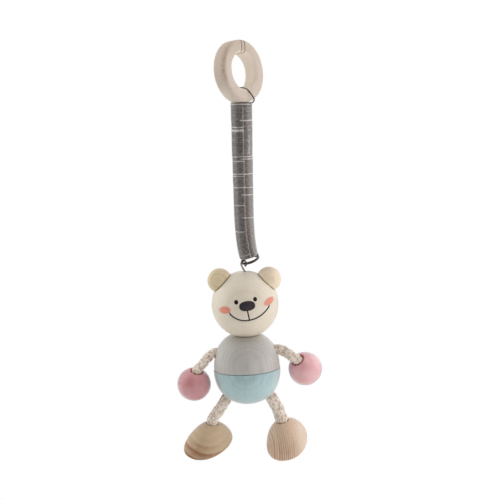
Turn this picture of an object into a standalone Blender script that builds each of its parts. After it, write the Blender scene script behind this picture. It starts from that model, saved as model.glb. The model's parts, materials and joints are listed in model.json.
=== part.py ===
"""A hanging wooden bear: a ring, a close-wound spring and a jointed figure with cord limbs.

The origin is the place that hangs: the top of the ring's inner wall, halfway along its width.
+Z is up along the hanging line, and the figure faces -Y. Its left is at -X, as seen from the front.
"""
import math

import bmesh
import bpy
import numpy as np
from mathutils import Matrix, Vector

MM = 0.001
UP = Vector((0, 0, 1))

# Clearances
GAP = 0.3 * MM                      # between pieces that are glued or rest on each other
CORD_PLAY = 0.45 * MM               # round a cord in its hole

# Ring
RING_RADIUS = 18.5 * MM
RING_THICKNESS = 7.7 * MM           # inner wall to outer wall
RING_WIDTH = 9.5 * MM
RING_EDGE = 2.2 * MM
RING_TURN = math.radians(51.9)      # of its axis, away from the front
RING_TILT = math.radians(9.54)
KEY_WIDTH = 2.6 * MM                # the piece that closes the saw slot
KEY_ANGLE = math.radians(9)         # round from the ring's top

# Spring
WIRE = 0.66 * MM
COIL_TOP_DIAMETER = 12.4 * MM       # outside
COIL_END_DIAMETER = 11.1 * MM
COIL_LENGTH = 91.1 * MM
COIL_TURNS = 73.79
COIL_DRIFT = 1.3 * MM               # how far it wanders to the left on its way down
COIL_PULL = 4.0 * MM                # how far its lower end is pulled over
COIL_PULL_POWER = 8
COIL_PULL_TURN = math.radians(34.9)
COIL_TOP_FROM_RING = Vector((-1.28, 1.5, -5.09)) * MM     # from the middle of the ring's section
POINTS_PER_TURN = 8
HOOK_ROUTE = [                      # in front of, above and beside the middle of the section, mm
    (-5.5, -3.6, 0), (-5.9, -1.5, 0), (-5.6, 1.8, 0), (-4.9, 3.4, 0), (-3.2, 4.5, 0), (0, 4.55, 0),
    (3.4, 4.4, 0.1), (6.4, 2.5, 0.5), (7.9, 0.1, 1.1), (8.2, -2.1, 1.9), (7.1, -4.1, 2.9),
    (4.9, -5.4, 3.2),
]

HOOK_STEP = 1.25 * MM               # between the points of its wire

# The lower hook: the last turns, splayed like a lid
LID_RADIUS = 5.4 * MM               # to the middle of the wire
LID_TURNS = 2
LID_PITCH = 1.08 * MM
LID_DROOP = math.radians(19.8)
LID_FROM_COIL = Vector((1.09, 0.71, -2.15)) * MM
LID_BLEND = math.radians(65)        # of turn, in which the wire leaves the coil's circle
LID_START = 20.5                    # degrees of turn to the first point after the wire's end
LID_STEPS = 10                      # points per turn

# Screw eye
EYE_WIRE = 0.9 * MM
EYE_RADIUS = 1.8 * MM               # to the middle of the wire
EYE_SAG = 0.15 * MM                 # of the loop's centre under the turns that it hangs on
EYE_NECK = 4.9 * MM                 # from the loop's centre down to the head
EYE_SCREW = 7.0 * MM                # length in the head
EYE_LEAN = math.radians(27)
EYE_FROM_AXIS = Vector((0.8, 0.4, 0)) * MM

# The stock ball that the head and the body's lower half are turned from
BALL_RADIUS = 20.0 * MM

# Head and ears
TOP_CUT = 0.5 * MM                  # off the ball, for the small flat on top
NECK_CUT = 1.4 * MM                 # for the flat that it stands on
EAR_SEAT_CUT = 1.4 * MM             # and for the flat of each ear
HEAD_SHIFT = 1.0 * MM               # to the right of the body's axis
EAR_RADIUS = 7.35 * MM
EAR_CUT = 2.0 * MM                  # from the ear's centre to its flat
EAR_ANGLES = {"left": math.radians(43.5), "right": math.radians(46)}
EAR_DOWEL_RADIUS = 1.5 * MM
EAR_DOWEL_DEPTH = 4.0 * MM          # in each of the two pieces

# Body
BODY_TILT = math.radians(1.4)       # its right side is higher
UPPER_INSET = 0.25 * MM             # of the upper half's edge from the lower half's
UPPER_DOME = 22.5 * MM              # height of the whole dome, before it is cut flat
UPPER_POWER = 2.3
UPPER_HEIGHT = 20.4 * MM
LOWER_HEIGHT = 21.3 * MM
LOWER_POWER = 2.2
DOWEL_RADIUS = 4.0 * MM
NECK_DOWEL_IN_HEAD = 8.0 * MM
NECK_DOWEL_IN_BODY = 4.5 * MM
BODY_DOWEL_UP = 5.0 * MM
BODY_DOWEL_DOWN = 7.0 * MM

# Arms
ARM_CORD_RADIUS = 3.0 * MM
ARM_HEIGHT = 10.7 * MM              # of the cross-bore above the seam
ARM_EXIT_OUT = 0.4 * MM             # where the cord begins to bend, outside the wood
CORE_SHORT = 5.0 * MM               # how far inside the bore the straight middle ends
HAND_RADIUS = 10.1 * MM
HAND_BORE_BOTTOM = 0.8 * MM         # from the hand's centre
HAND_RIM_RADIUS = 4.6 * MM          # of the worn edge of the hole
ARM_RIM_RADIUS = 4.3 * MM           # of the rounded edge of the cross-bore
LEFT_HAND = Vector((-13.4, 0.6, -19.1)) * MM          # its centre, from the cord's exit
RIGHT_HAND = Vector((16.8, 3.1, -13.1)) * MM
HANDS = {
    "left": {
        "centre": LEFT_HAND,
        "hole": Vector((0.186, -0.288, 0.935)).normalized(),
        "route": [(-2.1, -0.1, -0.9), (-5.4, -0.6, -3.7), (-8.4, -1.5, -7.1)],
    },
    "right": {
        "centre": RIGHT_HAND,
        "hole": Vector((-0.481, -0.511, 0.712)).normalized(),
        "route": [(3.0, -0.3, -0.3), (6.2, -1.3, -1.9), (9.3, -2.2, -4.1)],
    },
}

# Legs
LEG_CORD_RADIUS = 3.35 * MM
LEG_PLACE = math.radians(51.9)      # down the lower half's curve, to where the cord comes out
LEG_ANGLE = math.radians(32)
LEG_BORE_DEPTH = 9.0 * MM
FOOT_LENGTH = 32.3 * MM
FOOT_WIDTH = 25.2 * MM
FOOT_HEIGHT = 12.95 * MM            # above the sole's rounded edge
FOOT_PLAN_POWER = 2.19
FOOT_SIDE_POWER = 1.62
FOOT_TOE_DROP = 0.218               # how much lower the toe is than the middle, as a share
SOLE_EDGE = 1.8 * MM
SOLE_TUCK = 0.10                    # how much smaller the sole is, as a share
FOOT_HOLE_BACK = 5.96 * MM          # from the foot's middle towards the heel
FOOT_BORE_DEPTH = 7.5 * MM
LEFT_SOLE = Vector((-12.4, 1.5, -28.35)) * MM         # its middle, from the cord's exit
RIGHT_SOLE = Vector((9.5, 0.8, -29.05)) * MM
FEET = {
    "left": {
        "sole": LEFT_SOLE,
        "turn": (-138.0, 21.8, -14.5),                    # yaw, pitch and roll in degrees
        "hole": Vector((0.10, -0.28, 0.955)).normalized(),
        "route": [(-4.6, -0.3, -6.9), (-8.6, -0.4, -12.4)],
    },
    "right": {
        "sole": RIGHT_SOLE,
        "turn": (-94.7, 31.0, 11.6),
        "hole": Vector((-0.15, -0.30, 0.942)).normalized(),
        "route": [(5.2, -0.3, -8.7), (6.8, -0.4, -13.4)],
    },
}

# Where the cords are taken to bend: this far from the wood, along the cord
BEND = 3.5 * MM

# Facets round a turned piece
STEPS = 32
SMALL_STEPS = 20


# The scene, its collections and materials
for old in list(bpy.data.objects):
    bpy.data.objects.remove(old, do_unlink=True)
PARTS = bpy.data.collections.new("wooden_spring_figure")
CUTTERS = bpy.data.collections.new("cutters")
bpy.context.scene.collection.children.link(PARTS)
bpy.context.scene.collection.children.link(CUTTERS)


def material(name, colour, roughness, metallic=0.0):
    made = bpy.data.materials.new(name)
    made.use_nodes = True
    shader = made.node_tree.nodes["Principled BSDF"]
    shader.inputs["Base Color"].default_value = (*colour, 1)
    shader.inputs["Roughness"].default_value = roughness
    shader.inputs["Metallic"].default_value = metallic
    return made


RING_WOOD = material("raw_ring_wood", (0.74, 0.62, 0.50), 0.6)
SPRING_STEEL = material("spring_steel", (0.42, 0.40, 0.39), 0.3, 1.0)
EYE_STEEL = material("zinc_plated_steel", (0.55, 0.55, 0.54), 0.25, 1.0)
PALE_WOOD = material("pale_wood", (0.80, 0.68, 0.54), 0.5)
EAR_WOOD = material("ear_wood", (0.74, 0.62, 0.44), 0.5)
DOWEL_WOOD = material("dowel_wood", (0.78, 0.66, 0.50), 0.7)
GREY_STAIN = material("pearl_grey_stain", (0.52, 0.47, 0.45), 0.5)
MINT_STAIN = material("mint_stain", (0.40, 0.60, 0.60), 0.5)
PINK_LACQUER = material("pink_lacquer", (0.75, 0.30, 0.34), 0.35)
FOOT_WOOD = material("brown_wood", (0.52, 0.38, 0.25), 0.55)
COTTON = material("cotton_cord", (0.72, 0.62, 0.53), 0.9)


# Joints: unrotated empties, each on its joint's axis, and the place of each in the world
PLACE = {}


def joint(name, at, parent=None):
    node = bpy.data.objects.new(name, None)
    node.empty_display_size = 4 * MM
    PARTS.objects.link(node)
    PLACE[name] = at.copy()
    if parent:
        node.parent = bpy.data.objects[parent]
    node.location = at - (PLACE[parent] if parent else Vector())
    return name


def put(obj, at, turn, on, finish):
    """Places a piece in the world, on the joint that carries it, with its material."""
    obj.parent = bpy.data.objects[on]
    obj.location = at - PLACE[on]
    obj.rotation_euler = turn.to_euler()
    obj.data.materials.clear()
    obj.data.materials.append(finish)
    return obj


def smooth(mesh):
    mesh.shade_smooth()
    mesh.set_sharp_from_angle(angle=math.radians(35))


def mesh_object(name, mesh, collection=None):
    obj = bpy.data.objects.new(name, mesh)
    (collection or PARTS).objects.link(obj)
    return obj


def evaluated_mesh(obj):
    """The object's mesh as its modifiers or its curve settings make it."""
    bpy.context.view_layer.update()
    graph = bpy.context.evaluated_depsgraph_get()
    return bpy.data.meshes.new_from_object(obj.evaluated_get(graph), depsgraph=graph)


def turned(name, profile, steps=STEPS, closed=False):
    """A piece turned about its own Z axis; the profile runs down its outer side."""
    count = len(profile)
    edges = [(i, i + 1) for i in range(count - 1)] + ([(count - 1, 0)] if closed else [])
    outline = bpy.data.meshes.new(name + "_outline")
    outline.from_pydata([(x, 0, z) for x, z in profile], edges, [])
    obj = mesh_object(name, outline)
    screw = obj.modifiers.new("turn", "SCREW")
    screw.steps = screw.render_steps = steps
    screw.use_merge_vertices = True
    screw.merge_threshold = 0.000001
    obj.data = evaluated_mesh(obj)
    obj.modifiers.clear()
    obj.data.name = name
    bpy.data.meshes.remove(outline)
    smooth(obj.data)
    return obj


def towards(direction, side=None):
    """The rotation whose Z axis lies along the direction."""
    z = direction.normalized()
    x = (side or (Vector((1, 0, 0)) if abs(z.x) < 0.9 else Vector((0, 1, 0)))).copy()
    x = (x - z * x.dot(z)).normalized()
    return Matrix((x, z.cross(x), z)).transposed()


def rod(name, start, end, radius, end_radius=None, steps=SMALL_STEPS, collection=None):
    """A cylinder or a cone between two points."""
    mesh = bpy.data.meshes.new(name)
    shape = bmesh.new()
    bmesh.ops.create_cone(
        shape, cap_ends=True, segments=steps, radius1=radius,
        radius2=radius if end_radius is None else end_radius, depth=(end - start).length)
    shape.to_mesh(mesh)
    shape.free()
    smooth(mesh)
    obj = mesh_object(name, mesh, collection)
    obj.location = (start + end) / 2
    obj.rotation_euler = towards(end - start).to_euler()
    return obj


def block(name, at, turn, size, collection=None):
    mesh = bpy.data.meshes.new(name)
    shape = bmesh.new()
    bmesh.ops.create_cube(shape, size=1)
    bmesh.ops.scale(shape, vec=size, verts=shape.verts)
    shape.to_mesh(mesh)
    shape.free()
    obj = mesh_object(name, mesh, collection)
    obj.location = at
    obj.rotation_euler = turn.to_euler()
    return obj


def cut(piece, cutter, operation="DIFFERENCE"):
    cutter.hide_render = True
    cutter.display_type = "WIRE"
    change = piece.modifiers.new(cutter.name, "BOOLEAN")
    change.operation = operation
    change.solver = "EXACT"
    change.object = cutter


def bore(piece, name, mouth, bottom, radius, steps=SMALL_STEPS):
    """A blind hole; the cutter starts one radius outside the mouth."""
    out = (mouth - bottom).normalized()
    cutter = rod(name, bottom, mouth + out * radius, radius, steps=steps, collection=CUTTERS)
    cut(piece, cutter)


def countersink(piece, name, mouth, out, radius, rim_radius):
    """Widens a hole to the rim's radius at its mouth, at 45 degrees."""
    rise = rim_radius - radius
    cutter = rod(name, mouth - out * rise, mouth + out * 3 * rise, radius, radius + 4 * rise,
                 collection=CUTTERS)
    cut(piece, cutter)


def smooth_route(points, spacing):
    """Even points along a smooth curve through the route's own points."""
    p = [np.array(q, float) for q in points]
    p = [2 * p[0] - p[1]] + p + [2 * p[-1] - p[-2]]
    fine = []
    for a, b, c, d in zip(p, p[1:], p[2:], p[3:]):
        for t in np.linspace(0, 1, 24, endpoint=False):
            fine.append(0.5 * (2 * b + (c - a) * t + (2 * a - 5 * b + 4 * c - d) * t ** 2
                               + (3 * b - a - 3 * c + d) * t ** 3))
    fine.append(p[-2])
    fine = np.array(fine)
    run = np.concatenate([[0], np.cumsum(np.linalg.norm(np.diff(fine, axis=0), axis=1))])
    wanted = np.linspace(0, run[-1], max(3, round(run[-1] / spacing) + 1))
    return np.stack([np.interp(wanted, run, fine[:, k]) for k in range(3)], 1)


def tube(name, points, radius, resolution, on, finish):
    """A wire or cord along the points, with filled ends and its origin on its joint."""
    curve = bpy.data.curves.new(name, "CURVE")
    curve.dimensions = "3D"
    curve.bevel_depth = radius
    curve.bevel_resolution = resolution
    curve.use_fill_caps = True
    spline = curve.splines.new("POLY")
    spline.points.add(len(points) - 1)
    origin = PLACE[on]
    for point, place in zip(spline.points, points):
        point.co = (*(Vector(place) - origin), 1)
    obj = mesh_object(name, curve)
    obj.parent = bpy.data.objects[on]
    curve.materials.append(finish)
    return obj


def least_gap(points, diameter, apart):
    """The clear distance between a tube's turns, measured on its points."""
    p = np.array(points)
    least = min(np.linalg.norm(p[i + apart:] - p[i], axis=1).min() for i in range(len(p) - apart))
    return least - diameter


def arc(radius, start, end, steps, centre=(0, 0)):
    """Points of an arc in the profile's plane; angles in radians from +X."""
    angles = np.linspace(start, end, steps + 1)
    return [(centre[0] + radius * math.cos(a), centre[1] + radius * math.sin(a)) for a in angles]


# Ring, turned on its axis and closed by a glued key at the saw slot
ring_axis = Vector((math.sin(RING_TURN) * math.cos(RING_TILT),
                    -math.cos(RING_TURN) * math.cos(RING_TILT), math.sin(RING_TILT)))
ring_side = Vector((math.cos(RING_TURN), math.sin(RING_TURN), 0))
ring_up = ring_axis.cross(ring_side)
ring_turn_matrix = Matrix((ring_side, ring_up, ring_axis)).transposed()
ring_inner = RING_RADIUS - RING_THICKNESS
ring_centre = -ring_up * ring_inner
section = ring_centre - ring_up * (ring_inner + RING_THICKNESS / 2)

joint("hang_point", Vector())
joint("ring_turn", ring_centre, "hang_point")

corner = RING_WIDTH / 2 - RING_EDGE
ring_profile = (
    arc(RING_EDGE, math.pi / 2, 0, 3, (RING_RADIUS - RING_EDGE, corner))
    + arc(RING_EDGE, 0, -math.pi / 2, 3, (RING_RADIUS - RING_EDGE, -corner))
    + arc(RING_EDGE, -math.pi / 2, -math.pi, 3, (ring_inner + RING_EDGE, -corner))
    + arc(RING_EDGE, math.pi, math.pi / 2, 3, (ring_inner + RING_EDGE, corner)))


def ring_body(name):
    body = turned(name, ring_profile, steps=40, closed=True)
    return put(body, ring_centre, ring_turn_matrix, "hang_point", RING_WOOD)


key_out = ring_up * math.cos(KEY_ANGLE) + ring_side * math.sin(KEY_ANGLE)
key_place = ring_centre + key_out * (ring_inner + RING_THICKNESS / 2)
key_turn = towards(ring_axis, key_out)


def key_block(name, width):
    size = (RING_THICKNESS * 2, width, RING_WIDTH * 2)
    return block(name, key_place, key_turn, size, CUTTERS)


cut(ring_body("hanging_ring"), key_block("key_slot", KEY_WIDTH + 2 * GAP))
cut(ring_body("ring_key"), key_block("key_shape", KEY_WIDTH), "INTERSECT")


# Coil: a helix about an axis that drifts left and is pulled over at its lower end
coil_top = section + COIL_TOP_FROM_RING
pull = Vector((math.cos(COIL_PULL_TURN), math.sin(COIL_PULL_TURN), 0)) * COIL_PULL
coil_start_angle = RING_TURN - math.pi / 2


def coil_axis(f):
    """A point of the coil's axis; f runs from 0 at the top to 1 at the end."""
    return coil_top + Vector((-COIL_DRIFT * f, 0, -COIL_LENGTH * f)) + pull * f ** COIL_PULL_POWER


def coil_point(turn):
    """A point of the wire's middle, after so many turns down; it winds clockwise from above."""
    f = turn / COIL_TURNS
    down = (coil_axis(f + 0.001) - coil_axis(f - 0.001)).normalized()
    across = (Vector((1, 0, 0)) - down * down.x).normalized()
    radius = (COIL_TOP_DIAMETER + (COIL_END_DIAMETER - COIL_TOP_DIAMETER) * f - WIRE) / 2
    angle = coil_start_angle - turn * 2 * math.pi
    side = across.cross(down)
    return coil_axis(f) + (across * math.cos(angle) + side * math.sin(angle)) * radius


def straight_end(last, before, length):
    """A point that goes straight on past the end."""
    return last + (last - before).normalized() * length


coil_count = round(COIL_TURNS * POINTS_PER_TURN)
coil_wire = [coil_point(COIL_TURNS * i / coil_count) for i in range(coil_count + 1)]
small = 0.01
coil_first, coil_last = coil_wire[0], coil_wire[-1]
wire_in = coil_point(small) - coil_point(0)
wire_out = coil_point(COIL_TURNS) - coil_point(COIL_TURNS - small)
wire_in.normalize()
wire_out.normalize()
coil_wire = [coil_first - wire_in * WIRE] + coil_wire + [coil_last + wire_out * WIRE]

joint("spring_stretch", coil_axis(1), "ring_turn")
tube("spring_coil", coil_wire, WIRE / 2, 1, "ring_turn", SPRING_STEEL)
print("spring_coil least gap mm", round(least_gap(coil_wire, WIRE, POINTS_PER_TURN // 2) / MM, 3))


# Upper hook: from its free end behind the ring, over the inner wall and down to the coil
def by_section(out, up, side):
    return section + (ring_axis * out + ring_up * up + ring_side * side) * MM


hook_end = coil_first - wire_in * (WIRE + GAP)
hook_route = [by_section(*place) for place in HOOK_ROUTE] + [hook_end - wire_in * WIRE]
upper_hook = [Vector(p) for p in smooth_route(hook_route, HOOK_STEP)] + [hook_end]
tube("spring_upper_hook", upper_hook, WIRE / 2, 1, "ring_turn", SPRING_STEEL)


# Lower hook: two turns about a drooping axis, hinged where the coil ends
lid_centre = coil_axis(1) + LID_FROM_COIL
lid_level = Vector((-math.cos(COIL_PULL_TURN), -math.sin(COIL_PULL_TURN), 0))
lid_down = lid_level * math.cos(LID_DROOP) - UP * math.sin(LID_DROOP)
lid_across = Vector((math.sin(COIL_PULL_TURN), -math.cos(COIL_PULL_TURN), 0))
lid_axis = lid_across.cross(lid_down)
if lid_axis.z > 0:
    lid_axis.negate()


def lid_point(angle):
    """A point of the splayed turns; the angle runs on from the end of the coil."""
    share = min(1, max(0, angle / LID_BLEND))
    share = share * share * (3 - 2 * share)
    climb = LID_PITCH * (angle / (2 * math.pi) - LID_TURNS / 2)
    lid = (lid_centre + lid_axis * climb
           + (lid_across * math.sin(angle) - lid_down * math.cos(angle)) * LID_RADIUS)
    return coil_point(COIL_TURNS + angle / (2 * math.pi)).lerp(lid, share)


hook_start = coil_last + wire_out * (WIRE + GAP)
lid_angles = np.radians(np.linspace(LID_START, 360 * LID_TURNS, LID_STEPS * LID_TURNS))
lower_hook = [hook_start] + [lid_point(a) for a in lid_angles]
lid_hold = lid_centre + lid_down * LID_RADIUS
tube("spring_lower_hook", lower_hook, WIRE / 2, 1, "spring_stretch", SPRING_STEEL)
print("spring_lower_hook least gap mm", round(least_gap(lower_hook, WIRE, 6) / MM, 3))


# Screw eye: a loop across the two turns, with its shank in the head
eye_centre = lid_hold - UP * EYE_SAG
eye_right = lid_level * -1
body_up = Vector((-math.sin(BODY_TILT), 0, math.cos(BODY_TILT)))
body_right = Vector((math.cos(BODY_TILT), 0, math.sin(BODY_TILT)))
joint("figure_swing", lid_hold, "spring_stretch")


def eye_point(angle):
    return eye_centre + (eye_right * math.cos(angle) + UP * math.sin(angle)) * EYE_RADIUS


eye_start = math.pi + EYE_LEAN
loop = [eye_point(a) for a in np.linspace(-math.radians(62), eye_start, 18)]
lean = eye_right * math.sin(EYE_LEAN) - UP * math.cos(EYE_LEAN)
eye_foot = loop[-1] + lean * ((loop[-1] - eye_centre).dot(UP) + EYE_NECK) / math.cos(EYE_LEAN)
shank = [
    loop[-1].lerp(eye_foot, 0.5),
    eye_foot + body_up * 0.6 * MM,
    eye_foot - body_up * 0.6 * MM,
    eye_foot - body_up * EYE_SCREW,
]
tube("screw_eye", loop + shank, EYE_WIRE / 2, 1, "figure_swing", EYE_STEEL)


# Head: a ball with a small flat on top, one to stand on and one for each ear
head_top = BALL_RADIUS - TOP_CUT
head_neck = BALL_RADIUS - NECK_CUT
ear_flat = BALL_RADIUS - EAR_SEAT_CUT
head_centre = (eye_foot - body_right * EYE_FROM_AXIS.x - Vector((0, EYE_FROM_AXIS.y, 0))
               - body_up * head_top)
upright = towards(body_up, body_right)
head_profile = (
    [(0, head_top)]
    + arc(BALL_RADIUS, math.asin(head_top / BALL_RADIUS), -math.asin(head_neck / BALL_RADIUS), 12)
    + [(0, -head_neck)])
head = put(turned("head", head_profile), head_centre, upright, "figure_swing", PALE_WOOD)
eye_hole = EYE_WIRE / 2 + GAP
bore(head, "eye_hole", eye_foot, eye_foot - body_up * (EYE_SCREW + GAP), eye_hole, 12)

ear_profile = (
    arc(EAR_RADIUS, math.pi / 2, -math.asin(EAR_CUT / EAR_RADIUS), 8)
    + [(0, -EAR_CUT)])
ear_profile[0] = (0, EAR_RADIUS)
for side, sign in (("left", -1), ("right", 1)):
    ear_angle = EAR_ANGLES[side] * sign
    out = body_up * math.cos(ear_angle) + body_right * math.sin(ear_angle)
    flat = head_centre + out * ear_flat
    seat = flat + out * GAP
    ear_turn = towards(out)
    slab = block("ear_flat_" + side, flat + out * EAR_SEAT_CUT, ear_turn,
                 (BALL_RADIUS, BALL_RADIUS, 2 * EAR_SEAT_CUT), CUTTERS)
    cut(head, slab)
    ear = turned("ear_" + side, ear_profile, steps=SMALL_STEPS)
    put(ear, seat + out * EAR_CUT, ear_turn, "figure_swing", EAR_WOOD)
    dowel_hole = EAR_DOWEL_RADIUS + GAP
    bore(head, "ear_hole_in_head_" + side, flat, flat - out * (EAR_DOWEL_DEPTH + GAP),
         dowel_hole, 16)
    bore(ear, "ear_hole_" + side, seat, seat + out * (EAR_DOWEL_DEPTH + GAP), dowel_hole, 16)
    dowel = rod("ear_dowel_" + side, flat - out * EAR_DOWEL_DEPTH, seat + out * EAR_DOWEL_DEPTH,
                EAR_DOWEL_RADIUS, steps=16)
    put(dowel, dowel.location.copy(), ear_turn, "figure_swing", DOWEL_WOOD)


# Body: two turned halves glued at the seam, with a dowel between them and one in the neck
seam = (head_centre - body_right * HEAD_SHIFT
        - body_up * (head_neck + GAP + UPPER_HEIGHT))
upper_radius = BALL_RADIUS - UPPER_INSET


def dome_point(radius, height, power, angle):
    """A point of a superellipse: its distance from the axis, and from the seam."""
    return radius * math.cos(angle) ** (2 / power), height * math.sin(angle) ** (2 / power)


def dome(radius, height, power, cut_at, steps=11):
    """From the flat or the pole down to the seam."""
    start = math.asin((cut_at / height) ** (power / 2))
    return [dome_point(radius, height, power, a) for a in np.linspace(start, 0, steps + 1)]


half_seam = GAP / 2
upper_outline = dome(upper_radius, UPPER_DOME, UPPER_POWER, UPPER_HEIGHT)
upper_outline[-1] = (upper_radius, half_seam)
upper_profile = [(0, UPPER_HEIGHT)] + upper_outline + [(0, half_seam)]
upper = turned("upper_body", upper_profile)
put(upper, seam, upright, "figure_swing", GREY_STAIN)

lower_outline = dome(BALL_RADIUS, LOWER_HEIGHT, LOWER_POWER, LOWER_HEIGHT)
lower_outline[-1] = (BALL_RADIUS, half_seam)
lower_outline[0] = (0, LOWER_HEIGHT)
lower_profile = [(0, -half_seam)] + [(x, -z) for x, z in reversed(lower_outline)]
lower = turned("lower_body", lower_profile)
put(lower, seam, upright, "figure_swing", MINT_STAIN)

dowel_bore = DOWEL_RADIUS + GAP
body_top = seam + body_up * UPPER_HEIGHT
neck_flat = body_top + body_up * GAP
bore(head, "neck_hole_in_head", neck_flat, neck_flat + body_up * (NECK_DOWEL_IN_HEAD + GAP),
     dowel_bore)
bore(upper, "neck_hole_in_body", body_top, body_top - body_up * (NECK_DOWEL_IN_BODY + GAP),
     dowel_bore)
neck_dowel = rod("neck_dowel", body_top - body_up * NECK_DOWEL_IN_BODY,
                 neck_flat + body_up * NECK_DOWEL_IN_HEAD, DOWEL_RADIUS)
put(neck_dowel, neck_dowel.location.copy(), upright, "figure_swing", DOWEL_WOOD)
bore(upper, "seam_hole_above", seam, seam + body_up * (BODY_DOWEL_UP + GAP), dowel_bore)
bore(lower, "seam_hole_below", seam, seam - body_up * (BODY_DOWEL_DOWN + GAP), dowel_bore)
body_dowel = rod("body_dowel", seam - body_up * BODY_DOWEL_DOWN,
                 seam + body_up * BODY_DOWEL_UP, DOWEL_RADIUS)
put(body_dowel, body_dowel.location.copy(), upright, "figure_swing", DOWEL_WOOD)


# Arms: one cord through the cross-bore, with a ball on each end
arm_middle = seam + body_up * ARM_HEIGHT
arm_bore = ARM_CORD_RADIUS + CORD_PLAY
arm_place = math.asin((ARM_HEIGHT / UPPER_DOME) ** (UPPER_POWER / 2))
arm_exit = dome_point(upper_radius, UPPER_DOME, UPPER_POWER, arm_place)[0] + ARM_EXIT_OUT
cross_bore = rod("arm_bore", arm_middle - body_right * upper_radius * 1.2,
                 arm_middle + body_right * upper_radius * 1.2, arm_bore, collection=CUTTERS)
cut(upper, cross_bore)
core_half = arm_exit - CORE_SHORT
tube("arm_cord_core",
     [arm_middle + body_right * core_half * s for s in (-1, -0.5, 0, 0.5, 1)],
     ARM_CORD_RADIUS, 3, "figure_swing", COTTON)


def cord_joint(name, wood, outside, parent):
    """A joint's empty on the cord, a little way out from the wood."""
    return joint(name, wood + (outside - wood).normalized() * BEND, parent)


for side, sign in (("left", -1), ("right", 1)):
    hand = HANDS[side]
    exit_point = arm_middle + body_right * arm_exit * sign
    countersink(upper, "arm_rim_" + side, exit_point, body_right * sign, arm_bore, ARM_RIM_RADIUS)
    free = [exit_point + Vector(p) * MM for p in hand["route"]]
    centre = exit_point + hand["centre"]
    hole = hand["hole"]
    mouth = centre + hole * math.sqrt(HAND_RADIUS ** 2 - HAND_RIM_RADIUS ** 2)
    shoulder = cord_joint("shoulder_" + side, exit_point, free[0], "figure_swing")
    wrist = cord_joint("wrist_" + side, mouth, free[-1], shoulder)
    start = arm_middle + body_right * (core_half + GAP) * sign
    cord_end = centre + hole * (HAND_BORE_BOTTOM + GAP)
    route = [start, exit_point] + free + [mouth - hole * 0.4 * MM, mouth.lerp(cord_end, 0.5), cord_end]
    tube("arm_cord_" + side, smooth_route(route, 2.2 * MM), ARM_CORD_RADIUS, 3, shoulder, COTTON)
    ball_profile = arc(HAND_RADIUS, math.pi / 2, -math.pi / 2, 10)
    ball_profile[0], ball_profile[-1] = (0, HAND_RADIUS), (0, -HAND_RADIUS)
    ball = turned("hand_" + side, ball_profile, steps=SMALL_STEPS)
    put(ball, centre, towards(hole), wrist, PINK_LACQUER)
    hand_bore = ARM_CORD_RADIUS + CORD_PLAY
    bore(ball, "hand_bore_" + side, mouth, centre + hole * HAND_BORE_BOTTOM, hand_bore)
    countersink(ball, "hand_rim_" + side, mouth, hole, hand_bore, HAND_RIM_RADIUS)


# Legs: a cord glued in a blind hole at each end, with a half-egg foot
def foot_point(direction):
    """A point of the foot's surface, from a direction on the unit ball."""
    side_angle = math.asin(max(-1, min(1, direction.z)))
    flat = math.hypot(direction.x, direction.y) or 1
    cosine, sine = direction.x / flat, direction.y / flat
    in_plan = math.cos(side_angle) ** (2 / FOOT_SIDE_POWER)
    x = math.copysign(abs(cosine) ** (2 / FOOT_PLAN_POWER), cosine) * in_plan
    y = math.copysign(abs(sine) ** (2 / FOOT_PLAN_POWER), sine) * in_plan
    rise = FOOT_HEIGHT * math.sin(side_angle) ** (2 / FOOT_SIDE_POWER)
    return Vector((FOOT_LENGTH / 2 * x, FOOT_WIDTH / 2 * y, rise * (1 - FOOT_TOE_DROP * x)))


def foot_top(x):
    """The height of the foot's crest at a distance from its middle."""
    share = x / (FOOT_LENGTH / 2)
    cosine = abs(share) ** (FOOT_SIDE_POWER / 2)
    rise = FOOT_HEIGHT * math.sqrt(1 - cosine ** 2) ** (2 / FOOT_SIDE_POWER)
    return rise * (1 - FOOT_TOE_DROP * share)


def foot_mesh(name):
    """Starts as a ball: its upper half takes the foot's curve, its lower half the sole's edge."""
    rings = 16
    shape = bmesh.new()
    bmesh.ops.create_uvsphere(shape, u_segments=24, v_segments=rings, radius=1)
    below = [v for v in shape.verts if v.co.z < -math.sin(math.radians(2.5 * 180 / rings))]
    bmesh.ops.delete(shape, geom=below, context="VERTS")
    step = math.sin(math.radians(1.5 * 180 / rings))
    for vert in shape.verts:
        ring = vert.co.copy()
        if ring.z > -0.01:
            vert.co = foot_point(ring)
            continue
        ring.z = 0
        inward, sink = (SOLE_TUCK * 0.3, SOLE_EDGE * 0.6) if vert.co.z > -step else (SOLE_TUCK, SOLE_EDGE)
        place = foot_point(ring.normalized()) * (1 - inward)
        vert.co = (place.x, place.y, -sink)
    rim = [e for e in shape.edges if e.is_boundary]
    bmesh.ops.edgeloop_fill(shape, edges=rim)
    bmesh.ops.recalc_face_normals(shape, faces=shape.faces)
    mesh = bpy.data.meshes.new(name)
    shape.to_mesh(mesh)
    shape.free()
    smooth(mesh)
    return mesh


leg_aside, leg_drop = dome_point(BALL_RADIUS, LOWER_HEIGHT, LOWER_POWER, LEG_PLACE)

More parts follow.
